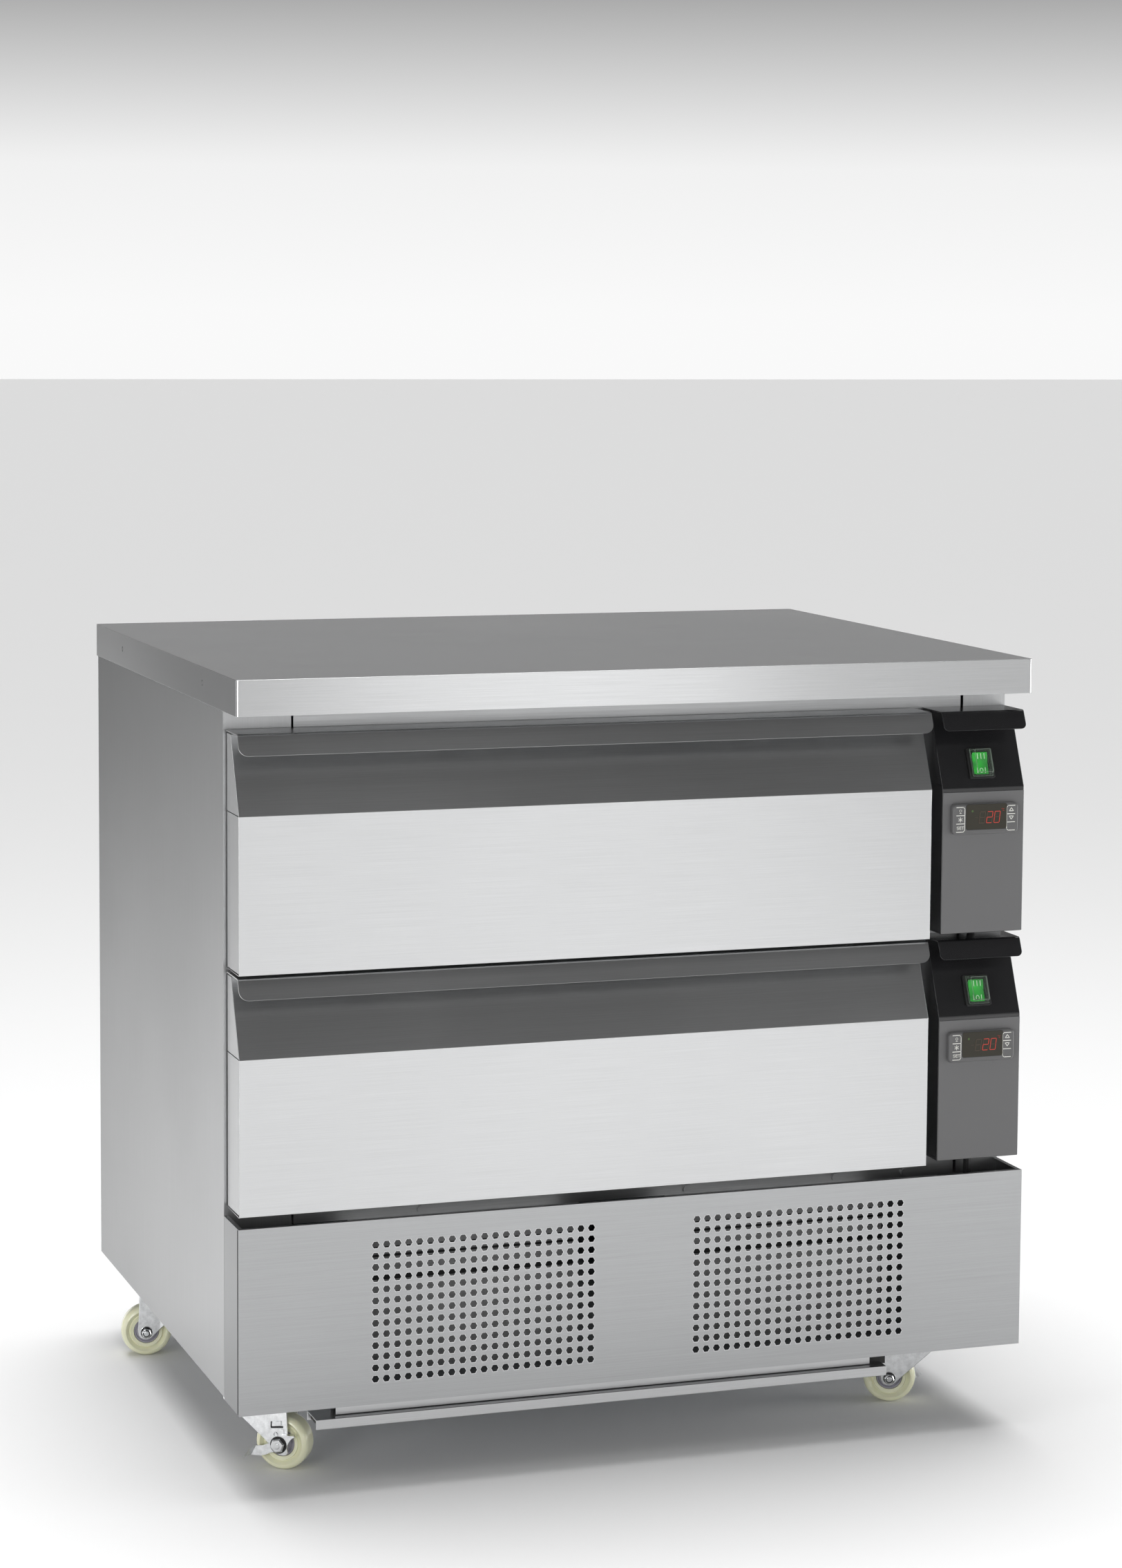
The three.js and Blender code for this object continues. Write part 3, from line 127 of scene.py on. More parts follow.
back_sky = sky_ramp([(0.0, 0.95), (0.04, 0.88), (0.1, 0.24), (0.3, 0.12), (1.0, 0.3)])
front_sky = sky_ramp([(0.0, 0.9), (0.12, 0.8), (0.35, 0.145), (0.75, 0.08), (1.0, 0.35)])
backwards = add_node(
    sky, "MapRange", {"From Min": -0.25, "From Max": 0.35}, {"Value": sky_parts.outputs["Y"]}
)
colour_a, colour_b, colour_mixed = 6, 7, 2
sky_mix = add_node(
    sky, "Mix",
    links={"Factor": backwards.outputs["Result"], colour_a: front_sky, colour_b: back_sky},
    data_type="RGBA",
)
sky.links.new(sky_mix.outputs[colour_mixed], sky.nodes["Background"].inputs["Color"])


def facing(place, aim):
    return (Vector(aim) - Vector(place)).to_track_quat("-Z", "Y").to_euler()


def add_light(name, kind, energy, place, turn, **settings):
    lamp = bpy.data.lights.new(name, kind)
    set_up(lamp, energy=energy, **settings)
    set_up(add_object(name, lamp), location=place, rotation_euler=turn)


for name, place, aim, width, height, watts in (
    ("ceiling_light", (0.2, 0.3, 3.4), (0, 0, 0), 3.6, 3.2, 50),
    ("front_card", (1.15, -4.6, 0.85), (0.1, -0.3, 0.5), 1.7, 1.7, 8),
    ("left_card", (-3.6, 0.6, 1.0), (-0.4, 0, 0.45), 2.0, 1.6, 8),
    ("fill_card", (-2.5, -2.4, 0.7), (0, -0.3, 0.15), 1.2, 1.0, 22),
    ("low_card", (3.1, -1.1, 0.6), (0.35, -0.3, 0.1), 1.2, 1.0, 26),
    ("edge_strip", (-2.4, -1.3, 1.9), (0, -0.35, 0.6), 0.35, 1.2, 9),
):
    add_light(name, "AREA", watts, place, facing(place, aim), shape="RECTANGLE", size=width, size_y=height)
add_light("daylight", "SUN", 2.1, (0, 0, 0), (radians(-14), 0, 0), angle=radians(50))
pool_place = (3.4, -3.2, 2.8)
add_light(
    "floor_pool", "SPOT", 460, pool_place, facing(pool_place, (0.6, -2.3, 0)),
    spot_size=radians(40), spot_blend=1.0, shadow_soft_size=0.3,
)

camera_data = bpy.data.cameras.new("camera")
set_up(
    camera_data, sensor_fit="HORIZONTAL", sensor_width=36.0, lens=117.08, shift_x=-0.0118,
    shift_y=-0.1214, clip_end=200,
)
camera = add_object("camera", camera_data)
turn, tilt, roll = (radians(angle) for angle in (-19.14, 5.26, 0.39))
ahead = Vector((-sin(turn) * cos(tilt), cos(turn) * cos(tilt), -sin(tilt)))
sideways = ahead.cross(Vector((0, 0, 1))).normalized()
upward = sideways.cross(ahead)
right = sideways * cos(roll) + upward * sin(roll)
upright = upward * cos(roll) - sideways * sin(roll)
camera.matrix_world = Matrix.Translation((-1.33896, -3.96358, 1.24195)) @ Matrix(
    (right, upright, -ahead)
).transposed().to_4x4()
scene.camera = camera
scene.view_settings.view_transform = "Standard"

# Worktop: one stainless sheet folded down round a stiffening board and turned under all round.
# Its top is rolled smooth, its corners are welded and ground, and each end shows two rivets.
# The grain runs along its length, and a painted shadow line shows where it rests on each side panel.


def shader_group(name, takes, gives):
    """A node group with named sockets, its input node and its output node."""
    group = bpy.data.node_groups.new(name, "ShaderNodeTree")
    for direction, sockets in (("INPUT", takes), ("OUTPUT", gives)):
        for label, kind in sockets.items():
            group.interface.new_socket(label, in_out=direction, socket_type=f"NodeSocket{kind}")
    return group, group.nodes.new("NodeGroupInput"), group.nodes.new("NodeGroupOutput")


brushed_grain, grain_in, grain_out = shader_group(
    "brushed_grain", {"Stretch": "Vector", "Clouds": "Float"}, {"Streaks": "Float", "Clouding": "Float"}
)
grain_place = add_node(brushed_grain, "TexCoord").outputs["Object"]
grain_pull = add_node(
    brushed_grain, "VectorMath", links={0: grain_place, 1: grain_in.outputs["Stretch"]},
    operation="MULTIPLY",
)
streak_noise = add_node(
    brushed_grain, "TexNoise", {"Scale": 1.0, "Detail": 5.0, "Roughness": 0.65},
    {"Vector": grain_pull.outputs["Vector"]},
)
cloud_noise = add_node(
    brushed_grain, "TexNoise", {"Detail": 3.0},
    {"Vector": grain_place, "Scale": grain_in.outputs["Clouds"]},
)
brushed_grain.links.new(streak_noise.outputs["Fac"], grain_out.inputs["Streaks"])
brushed_grain.links.new(cloud_noise.outputs["Fac"], grain_out.inputs["Clouding"])

lengthwise, crosswise = 9.0, 1500.0
along_x = (lengthwise, crosswise, crosswise)
along_y = (crosswise, lengthwise, crosswise)
along_z = (crosswise, crosswise, lengthwise)


def brushed_steel(name, grey, roughness, stretch, contrast=0.16, clouds=2.5, tint=0.005):
    """Slightly blue steel with streaks in its colour and relief, and slow clouds in its roughness."""
    colour = (grey, grey + tint, grey + 2 * tint)
    material = plain_material(name, colour, roughness, 1.0)
    tree = material.node_tree
    grain = add_node(tree, "Group", {"Stretch": stretch, "Clouds": clouds}, node_tree=brushed_grain)
    vector_in, from_min, from_max, to_min, to_max = range(6, 11)
    tone = add_node(
        tree, "MapRange",
        {
            from_min: (0.25,) * 3,
            from_max: (0.75,) * 3,
            to_min: tuple(part * (1 - contrast) for part in colour),
            to_max: tuple(min(part * (1 + contrast), 1.0) for part in colour),
        },
        {vector_in: grain.outputs["Streaks"]}, data_type="FLOAT_VECTOR",
    )
    sheen = add_node(
        tree, "MapRange",
        {"From Min": 0.3, "From Max": 0.7, "To Min": roughness - 0.02, "To Max": roughness + 0.03},
        {"Value": grain.outputs["Clouding"]}, interpolation_type="SMOOTHSTEP",
    )
    bump = add_node(
        tree, "Bump", {"Strength": 0.12, "Distance": 0.0002}, {"Height": grain.outputs["Streaks"]}
    )
    for label, source in (
        ("Base Color", tone.outputs["Vector"]),
        ("Roughness", sheen.outputs["Result"]),
        ("Normal", bump.outputs["Normal"]),
    ):
        tree.links.new(source, shader_of(material).inputs[label])
    return material


def add_piece(name, shape, finish, body, slot, *replaced):
    points, faces = shape
    mesh = bpy.data.meshes.new(name)
    mesh.from_pydata([tuple(point) for point in points], [], faces)
    shell = bmesh.new()
    shell.from_mesh(mesh)
    bmesh.ops.recalc_face_normals(shell, faces=shell.faces)
    shell.to_mesh(mesh)
    shell.free()
    mesh.materials.append(finish)
    piece = add_object(name, mesh)
    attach(piece, body)
    if replaced:
        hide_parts(*replaced)
    return piece


def soften(piece, radius, rounds=2, corner_deg=35):
    """Rounds the edges that turn by more than an angle."""
    piece.data.shade_smooth()
    set_up(
        piece.modifiers.new("rounded_edges", "BEVEL"), width=radius, segments=rounds,
        limit_method="ANGLE", angle_limit=radians(corner_deg), harden_normals=True,
    )


def smooth(piece, corner_deg=35):
    """Shades a curved shape smooth and keeps its sharp corners."""
    piece.data.shade_smooth()
    piece.data.set_sharp_from_angle(angle=radians(corner_deg))


def loft(rings, cap_first=True, cap_last=True, closed=False):
    """Rings of equal length joined one to the next."""
    count = len(rings[0])
    points = [point for ring in rings for point in ring]
    faces = []
    for here in range(len(rings) if closed else len(rings) - 1):
        there = (here + 1) % len(rings)
        for i in range(count):
            j = (i + 1) % count
            faces.append((here * count + i, here * count + j, there * count + j, there * count + i))
    if cap_first and not closed:
        faces.append(tuple(reversed(range(count))))
    if cap_last and not closed:
        faces.append(tuple(range((len(rings) - 1) * count, len(rings) * count)))
    return points, faces


def prism(outline, start, end, axis):
    """An outline in the two other axes, drawn out along one axis."""
    at = "xyz".index(axis)
    return loft([[(*point[:at], w, *point[at:]) for point in outline] for w in (start, end)])


def block(xs, ys, zs):
    """A plain box, given by its range along each axis."""
    return prism([(xs[0], ys[0]), (xs[1], ys[0]), (xs[1], ys[1]), (xs[0], ys[1])], *zs, "z")


def together(*shapes):
    points, faces = [], []
    for more_points, more_faces in shapes:
        start = len(points)
        points += list(more_points)
        faces += [tuple(start + i for i in face) for face in more_faces]
    return points, faces


def rounded(left, right_side, low, high, radius, steps=5):
    """The outline of a rectangle with rounded corners."""
    outline = []
    corners = (
        (right_side - radius, low + radius, -90),
        (right_side - radius, high - radius, 0),
        (left + radius, high - radius, 90),
        (left + radius, low + radius, 180),
    )
    for u, v, start in corners:
        for i in range(steps + 1):
            angle = radians(start + 90 * i / steps)
            outline.append((u + radius * cos(angle), v + radius * sin(angle)))
    return outline


def circle(radius, sides, start=0):
    """Points round a circle, the first at an angle in degrees."""
    return [
        (radius * cos(t), radius * sin(t))
        for t in (radians(start) + 2 * pi * i / sides for i in range(sides))
    ]


top_low, top_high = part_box("worktop")
top_corner = 0.0035
hem_out, hem_in = 0.0026, 0.026
hem_top = top_low.z + 0.014
fold_rings = []
for inset, height in (
    (0, top_high.z), (0, top_low.z), (hem_out, top_low.z), (hem_out, hem_top), (hem_in, hem_top),
    (hem_in, top_low.z),
):
    reach_x, reach_y = top_high.x - inset, top_high.y - inset
    outline = rounded(-reach_x, reach_x, -reach_y, reach_y, max(top_corner - inset, 0.0005))
    fold_rings.append([(x, y, height) for x, y in outline])
worktop_steel = brushed_steel("worktop_steel", 0.54, 0.24, along_x, 0.1)
soften(add_piece(
    "folded_worktop", loft(fold_rings), worktop_steel, "cabinet", "worktop_steel", "worktop"
), 0.0013, 3)


def domed(centre, outward, radius, rise):
    """A shallow dome that stands on a face."""
    sides, rounds = 20, 4
    outward = Vector(outward).normalized()
    across = outward.orthogonal().normalized()
    other = outward.cross(across)
    rings = []
    for k in range(rounds):
        angle = radians(90 * k / rounds)
        rings.append([
            Vector(centre) + across * u + other * v + outward * rise * sin(angle)
            for u, v in circle(radius * cos(angle), sides)
        ])
    return loft(rings)


# A darker ring round the foot of each rivet is painted shade of the dimple it sits in.
rivet_shade_steel = plain_material("rivet_shade_steel", (0.16, 0.16, 0.16), 0.4, 1.0)
rivet_y, rivet_drop = 0.2, 0.017
for name, radius, sunk, rise, finish in (
    ("worktop_rivet_shade_rings", 0.0044, 0.0001, 0.00015, rivet_shade_steel),
    ("worktop_rivets", 0.0031, 0.0006, 0.0008, worktop_steel),
):
    discs = together(*[
        domed((side * (top_high.x - sunk), y, top_high.z - rivet_drop), (side, 0, 0), radius, rise)
        for side in (-1, 1) for y in (-rivet_y, rivet_y)
    ])
    smooth(add_piece(name, discs, finish, "cabinet", "worktop_steel"))

# Near-black, for painted shade in gaps, in recesses and round parts, and for the dark seams and slots of the
# brake plates.
shade_and_seam_black = plain_material("shade_and_seam_black", (0.01, 0.01, 0.01), 0.6)
panel_low, panel_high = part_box("left_side_panel")
line_gauge, line_inset = 0.0007, 0.002
# Thin near-black strips under the worktop's rim are painted shadow where it rests on each side panel.
shadow_lines = together(*[
    block(
        (side * -panel_low.x, side * (-panel_low.x + line_gauge)),
        (panel_low.y + line_inset, panel_high.y - line_inset),
        (top_low.z - line_gauge, top_low.z),
    )
    for side in (-1, 1)
])
add_piece("worktop_shadow_lines", shadow_lines, shade_and_seam_black, "cabinet", "worktop_steel")

# Cabinet: foamed panels skinned with stainless sheet, locked together without a frame.
# The grain runs upright on the sides and along the rails over and under the drawers.
# The back is plain, with a louvred plate over the machines and the gland of the mains lead.
side_steel = brushed_steel("side_steel", 0.465, 0.34, along_z, 0.07)
rear_steel = brushed_steel("rear_steel", 0.445, 0.34, along_z, 0.07)
# The rails over and under the drawers take a darker grey than the drawers' steel, as painted shade of the
# overhanging worktop.
shaded_rail_steel = brushed_steel("shaded_rail_steel", 0.46, 0.32, along_x)
inner_steel = brushed_steel("inner_steel", 0.52, 0.4, along_y, 0.08)

# Painted shade: the sides' colour darkens towards the back, standing in for the darker room that they would
# mirror there.
side_tree = side_steel.node_tree
side_colour = shader_of(side_steel).inputs["Base Color"]
side_place = add_node(side_tree, "NewGeometry")
side_parts = add_node(side_tree, "SeparateXYZ", links={0: side_place.outputs["Position"]})
side_painted_shade = add_node(
    side_tree, "MapRange",
    {"From Min": -0.28, "From Max": panel_high.y, "To Min": 1.0, "To Max": 0.7},
    {"Value": side_parts.outputs["Y"]},
)
side_shaded_colour = add_node(
    side_tree, "VectorMath",
    links={0: side_colour.links[0].from_socket, "Scale": side_painted_shade.outputs["Result"]},
    operation="SCALE",
)
side_tree.links.new(side_shaded_colour.outputs["Vector"], side_colour)


def finish_nodes(material, *names):
    """Gives solids that stay in sight a better material."""
    for name in names:
        for material_slot in nodes[name].material_slots:
            material_slot.material = material


finish_nodes(side_steel, "left_side_panel", "right_side_panel")
finish_nodes(rear_steel, "back_panel", "rear_grille")
finish_nodes(shaded_rail_steel, "ceiling_panel", "bay_divider", "cabinet_floor")
finish_nodes(inner_steel, "evaporator_housing_top", "evaporator_housing_bottom")

# Drawers: a foam-filled front skinned in one bent sheet, with a cap closing each end.
# The grip is a flange folded from the top edge whose lip leans forward, its lower corners rounded.
# Behind it are a magnetic seal and a rolled well for pans, on telescopic slides.
drawer_steel = brushed_steel("drawer_steel", 0.545, 0.3, along_x, 0.08)
cap_steel = brushed_steel("cap_steel", 0.62, 0.38, along_z, 0.06)
edge_steel = plain_material("cut_edge_steel", (0.82, 0.82, 0.82), 0.22, 1.0)
seal_rubber = plain_material("seal_rubber", (0.02, 0.02, 0.021), 0.62)
slide_zinc = brushed_steel("slide_zinc", 0.55, 0.38, along_y, 0.1, tint=0.02)

grip_tops = {"top": 0.8075, "bottom": 0.5535}
handle_gauge = 0.0015
grip_brink = -0.337
lip_lean = 0.009
fold_radius = 0.0025
face_y = -0.342
back_y = -0.289
setback = 0.035
crease_drop = 0.0848
front_height = 0.2505
sheet_gauge = 0.0012
module_room = 0.111
core_inset, core_trim, core_seam = 0.0014, 0.0008, 0.0004
screw_y, screw_drop = -0.2985, 0.024


def thickened(path, gauge):
    """The outline of a sheet that follows an open path of flat points, to the path's left."""
    inner = []
    for i, point in enumerate(path):
        before = Vector(path[max(i - 1, 0)])
        after = Vector(path[min(i + 1, len(path) - 1)])
        along = (after - before).normalized()
        inner.append((point[0] - along.y * gauge, point[1] + along.x * gauge))
    return list(path) + inner[::-1]


def grip(left, right_side, top, lip_drop, corner, gauge, back):
    """A flange with a leaning lip along its front edge, as rings from its left end to its right."""
    length = hypot(lip_drop, lip_lean)
    down = Vector((-lip_lean, -lip_drop)).normalized()
    knee = Vector((grip_brink, top))
    flat_end, lip_start = knee + Vector((fold_radius, 0)), knee + down * fold_radius
    flat_and_fold = [Vector((back, top)), flat_end] + [
        flat_end * (1 - share) ** 2 + knee * 2 * share * (1 - share) + lip_start * share ** 2
        for share in (0.2, 0.4, 0.6, 0.8)
    ]
    steps = 7
    turns = [radians(90 * i / steps) for i in range(steps + 1)]
    columns = [(left + corner * (1 - cos(t)), length - corner * (1 - sin(t))) for t in turns]
    columns += [(left + right_side - x, reach) for x, reach in reversed(columns)]
    rings = []
    for x, reach in columns:
        lip = [lip_start + down * (reach - fold_radius) * share for share in (0, 0.5, 1)]
        rings.append([(x, y, z) for y, z in thickened(flat_and_fold + lip, gauge)])
    return loft(rings)


for level, top in grip_tops.items():
    body = f"drawer_{level}"
    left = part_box(f"drawer_front_{level}")[0].x
    right_side = -left - module_room
    bottom = top - front_height
    crease = top - crease_drop
    slope_y, slope_z = face_y + setback, top - handle_gauge - sheet_gauge
    skin = thickened(
        [(back_y, bottom), (face_y, bottom), (face_y, crease), (slope_y, slope_z)], -sheet_gauge
    )
    soften(add_piece(
        f"front_skin_{level}", prism(skin, left, right_side, "x"), drawer_steel, body, "drawer_steel",
        f"drawer_front_{level}",
    ), 0.0006, 2, 15)
    lower = [
        (back_y, bottom + core_inset), (face_y + core_inset, bottom + core_inset),
        (face_y + core_inset, crease - core_seam), (back_y, crease - core_seam),
    ]
    upper = [
        (back_y, crease + core_seam), (face_y + core_inset, crease + core_seam),
        (slope_y + core_inset, slope_z - core_seam), (back_y, slope_z - core_seam),
    ]
    for part, outline in (("lower", lower), ("upper", upper)):
        core = prism(outline, left + core_trim, right_side - core_trim, "x")
        soften(add_piece(f"front_core_{part}_{level}", core, cap_steel, body, "drawer_steel"), 0.0004, 1)
    smooth(add_piece(
        f"handle_grip_{level}", grip(left, right_side, top, 0.0215, 0.01, handle_gauge, back_y),
        drawer_steel, body, "handle_steel", f"drawer_handle_{level}",
    ), 40)
    screw_place = (right_side - core_trim, screw_y, top - screw_drop)
    smooth(add_piece(
        f"side_screw_{level}", domed(screw_place, (1, 0, 0), 0.004, 0.0028), edge_steel, body,
        "drawer_steel",
    ))
    finish_nodes(seal_rubber, f"drawer_gasket_{level}")
    finish_nodes(inner_steel, f"drawer_well_{level}")
    finish_nodes(slide_zinc, f"slide_left_{level}", f"slide_right_{level}")

# Control modules: a black powder-coated housing with a grip like the drawers', one beside each drawer.
# A matt grey overlay covers the upright face below the fold, with the thermostat set into it.
# The lit rocker switch sits in the slope under a clear cap.
fine_speckle, speckle_in, speckle_out = shader_group(
    "fine_speckle", {"Scale": "Float"}, {"Height": "Float"}
)
speckle_place = add_node(fine_speckle, "TexCoord")
speckle_noise = add_node(
    fine_speckle, "TexNoise", {"Detail": 2.0},
    {"Vector": speckle_place.outputs["Object"], "Scale": speckle_in.outputs["Scale"]},
)
fine_speckle.links.new(speckle_noise.outputs["Fac"], speckle_out.inputs["Height"])


def speckled(name, colour, roughness, scale, strength, distance, others=None):
    """A plain material with the fine relief of powder paint or of moulded plastic."""
    material = plain_material(name, colour, roughness, others=others)
    tree = material.node_tree
    speckle = add_node(tree, "Group", {"Scale": scale}, node_tree=fine_speckle)
    bump = add_node(
        tree, "Bump", {"Strength": strength, "Distance": distance},
        {"Height": speckle.outputs["Height"]},
    )
    tree.links.new(bump.outputs["Normal"], shader_of(material).inputs["Normal"])
    return material


gloss_black = speckled(
    "powder_black", (0.012, 0.012, 0.013), 0.24, 900.0, 0.15, 0.0003,
    {"Coat Weight": 0.4, "Coat Roughness": 0.12},
)
matt_grey = speckled("overlay_grey", (0.125, 0.125, 0.127), 0.48, 2200.0, 0.2, 0.0002)
bezel_grey = speckled("bezel_grey", (0.105, 0.105, 0.106), 0.4, 2600.0, 0.25, 0.0002)
switch_black = speckled("switch_black", (0.014, 0.014, 0.014), 0.38, 2600.0, 0.2, 0.0002)
clear_cap = plain_material(
    "clear_cap", (0.9, 1.0, 0.92), 0.05, others={"Transmission Weight": 0.98, "IOR": 1.12}
)
window_glass = plain_material("window_dark", (0.034, 0.031, 0.022), 0.4, others={"Specular IOR Level": 0.25})
# Grey for the clear cap's rims: painted highlight where its edges catch the light.
cap_edge_highlight = plain_material("cap_edge_highlight", (0.22, 0.25, 0.22), 0.3)
white_print = plain_material("white_print", (0.78, 0.78, 0.73), 0.5)
segment_off = plain_material("segment_off", (0.055, 0.036, 0.02), 0.5)
segment_lit = plain_material(
    "segment_lit", (0.28, 0.03, 0.02), 0.5,
    others={"Emission Color": (1.0, 0.05, 0.02, 1), "Emission Strength": 0.24},
)
lamp_green = plain_material("lamp_green", (0.05, 0.1, 0.02), 0.5)
lit_green = plain_material("lit_green", (0.01, 0.1, 0.015), 0.35, others={"Emission Strength": 0.65})
green_tree = lit_green.node_tree
glow_place = add_node(green_tree, "TexCoord")
glow_noise = add_node(green_tree, "TexNoise", {"Scale": 90.0}, {"Vector": glow_place.outputs["Object"]})
glow_ramp = add_node(green_tree, "ValToRGB", links={"Fac": glow_noise.outputs["Fac"]})
dim_green, bright_green = glow_ramp.color_ramp.elements
dim_green.position, dim_green.color = 0.35, (0.001, 0.19, 0.012, 1)
bright_green.position, bright_green.color = 0.7, (0.006, 0.5, 0.02, 1)
green_tree.links.new(glow_ramp.outputs["Color"], shader_of(lit_green).inputs["Emission Color"])

module_left, module_right = 0.347, 0.446
module_drop = 0.246
module_back = -0.2853
module_gauge = 0.0016
overlay_inset, overlay_rise, overlay_sunk = 0.0006, 0.0009, 0.0002
dial_drop = 0.0335
dial_depth = 0.006


def placed(shape, matrix):
    points, faces = shape
    return [matrix @ Vector(point) for point in points], faces


def frame_of(outer, inner, start, end):
    """A flat ring between two outlines of equal length in x and z, from one y to another."""
    rings = [
        [(u, start, v) for u, v in outer],
        [(u, start, v) for u, v in inner],
        [(u, end, v) for u, v in inner],
        [(u, end, v) for u, v in outer],
    ]
    return loft(rings, closed=True)


def stroke(points, width, y, closed=False):
    """A printed line along a row of points in x and z, as one flat ribbon standing just off a face."""
    ribbon = []
    rise = 0.00012
    row = list(points) + ([points[0]] if closed else [])
    for start, end in zip(row, row[1:]):
        along = (Vector(end) - Vector(start)).normalized() * width / 2
        side = Vector((-along.y, along.x))
        a, b = Vector(start) - along, Vector(end) + along
        ribbon.append(prism([a - side, b - side, b + side, a + side], y - rise, y, "y"))
    return together(*ribbon)


# The thermostat is drawn once, round its own centre, with y at 0 on its front.
window_left, window_right, window_low, window_high = -0.0236, 0.0254, -0.0114, 0.0163
window_rim = 0.0006
glass_y = -0.0003
print_y, print_rise = -0.00035, 0.00015
key_y = -0.00002
figure_low, figure_width, figure_height = -0.0044, 0.0064, 0.0124
two_x, nought_x, blank_x = 0.0006, 0.0096, -0.0084


def dial_ring(inset, y):
    outline = rounded(-0.04 + inset, 0.04 - inset, -0.017 + inset, 0.017 - inset, 0.005 - inset, 6)
    return [(x, y, z) for x, z in outline]


def digit(segments, x, z=figure_low, width=figure_width, height=figure_height):
    """Seven-segment figure: the named bars as slim leaning hexagons."""
    bars = {
        "a": ((0, 1), (1, 1)), "b": ((1, 1), (1, 0.5)), "c": ((1, 0.5), (1, 0)), "d": ((0, 0), (1, 0)),
        "e": ((0, 0.5), (0, 0)), "f": ((0, 1), (0, 0.5)), "g": ((0, 0.5), (1, 0.5)),
    }
    half = width * 0.058
    lean = 0.12
    shapes = []
    for bar in segments:
        start, end = (Vector((x + u * width, z + v * height)) for u, v in bars[bar])
        along = (end - start).normalized() * half
        side = Vector((-along.y, along.x))
        tip, shoulder = along * 0.3, along * 1.1
        outline = [
            start + tip, start + shoulder + side, end - shoulder + side,
            end - tip, end - shoulder - side, start + shoulder - side,
        ]
        leaning = [(p.x + (p.y - z) * lean, p.y) for p in outline]
        shapes.append(prism(leaning, print_y - print_rise, print_y, "y"))
    return together(*shapes)


dial_body = loft([
    dial_ring(0.0, dial_depth), dial_ring(0.0, 0.0022), dial_ring(0.0006, 0.0008), dial_ring(0.0018, 0.0),
])
dial_window = prism(
    rounded(window_left, window_right, window_low, window_high, 0.0024), glass_y, 0.0005, "y"
)
dial_border = prism(
    rounded(window_left - window_rim, window_right + window_rim, window_low - window_rim,
            window_high + 0.0004, 0.0028),
    -0.0001, 0.0005, "y",
)
lit_figures = together(
    digit("abged", two_x), digit("abcdef", nought_x),
    digit("adef", 0.0206, 0.0084, 0.0016, 0.0022), digit("abfg", 0.019, 0.0096, 0.0009, 0.0015),
)
dark_figures = together(
    digit("cf", two_x), digit("g", nought_x), digit("abcdefg", blank_x),
    digit("g", blank_x - 0.0055, figure_low, 0.0035),
)
running_lamp = prism(
    rounded(-0.0174, -0.015, 0.0078, 0.0102, 0.0011, 4), print_y - print_rise, print_y, "y"
)

line = 0.00072
marks = []
for way in (-1, 1):
    outer = way * 0.0352
    inner = outer - way * 0.0098
    bend = inner + way * 0.0018
    marks.append(stroke(
        [(outer, 0.0137), (bend, 0.0137), (inner, 0.0119), (inner, -0.0119), (bend, -0.0137),
         (outer, -0.0137)],
        line, key_y,
    ))
    marks += [stroke([(inner, z), (outer, z)], line, key_y) for z in (0.0046, -0.0046)]
arrow_x, lamp_x = 0.031, -0.0306
for z, way in ((0.0093, 1), (0.0004, -1)):
    arrow = [(arrow_x - 0.0026, z - way * 0.0016), (arrow_x, z + way * 0.002),
             (arrow_x + 0.0026, z - way * 0.0016)]
    marks.append(stroke(arrow, line, key_y, closed=True))
for u, v in circle(0.0025, 6, 30)[:3]:
    marks.append(stroke([(lamp_x - u, -v), (lamp_x + u, v)], line * 0.8, key_y))
lamp_z = 0.0092
bulb = [(lamp_x + u, lamp_z + 0.0006 + v) for u, v in circle(0.0014, 8)]
marks.append(stroke(bulb, line * 0.7, key_y, closed=True))
socket_z = lamp_z - 0.002
marks.append(stroke([(lamp_x - 0.0008, socket_z), (lamp_x + 0.0008, socket_z)], line * 0.8, key_y))
letter_x, letter_z = 0.00105, 0.0015
for shift, strokes in (
    (-0.003, [[(1, 1), (-1, 1), (-1, 0), (1, 0), (1, -1), (-1, -1)]]),
    (0.0, [[(1, 1), (-1, 1), (-1, -1), (1, -1)], [(-1, 0), (1, 0)]]),
    (0.003, [[(-1, 1), (1, 1)], [(0, 1), (0, -1)]]),
):
    for path in strokes:
        row = [(lamp_x + shift + u * letter_x, -lamp_z + v * letter_z) for u, v in path]
        marks.append(stroke(row, line * 0.7, key_y))
key_marks = together(*marks)

# The switch is drawn once too, upright, with y at 0 on the slope and z up from the crease.
switch_z = 0.028
slope_lean = atan2(setback, crease_drop - handle_gauge)
rock = Matrix.Translation((0, 0.0007, switch_z)) @ Matrix.Rotation(radians(7), 4, "X")


def switch_outline(half_x, half_z, radius=0.0012):
    return rounded(-half_x, half_x, switch_z - half_z, switch_z + half_z, radius)


def cap_rings(*sections):
    return [[(u, y, v) for u, v in switch_outline(half_x, half_z)] for half_x, half_z, y in sections]


switch_ring = frame_of(
    switch_outline(0.015, 0.0175, 0.002), switch_outline(0.0096, 0.0131, 0.001), -0.0033, 0.0008
)
hood_points, hood_faces = together(
    loft(cap_rings(
        (0.0125, 0.016, -0.0034), (0.0125, 0.016, -0.0046), (0.0096, 0.0131, -0.0128),
        (0.0088, 0.0123, -0.0132),
    ), cap_first=False),
    loft(cap_rings(
        (0.0086, 0.0121, -0.0122), (0.0115, 0.015, -0.0046), (0.0115, 0.015, -0.0034)
    ), cap_last=False),
)
count = len(hood_points) // 7
foot = len(hood_points) - count
hood_faces += [(i, (i + 1) % count, foot + (i + 1) % count, foot + i) for i in range(count)]
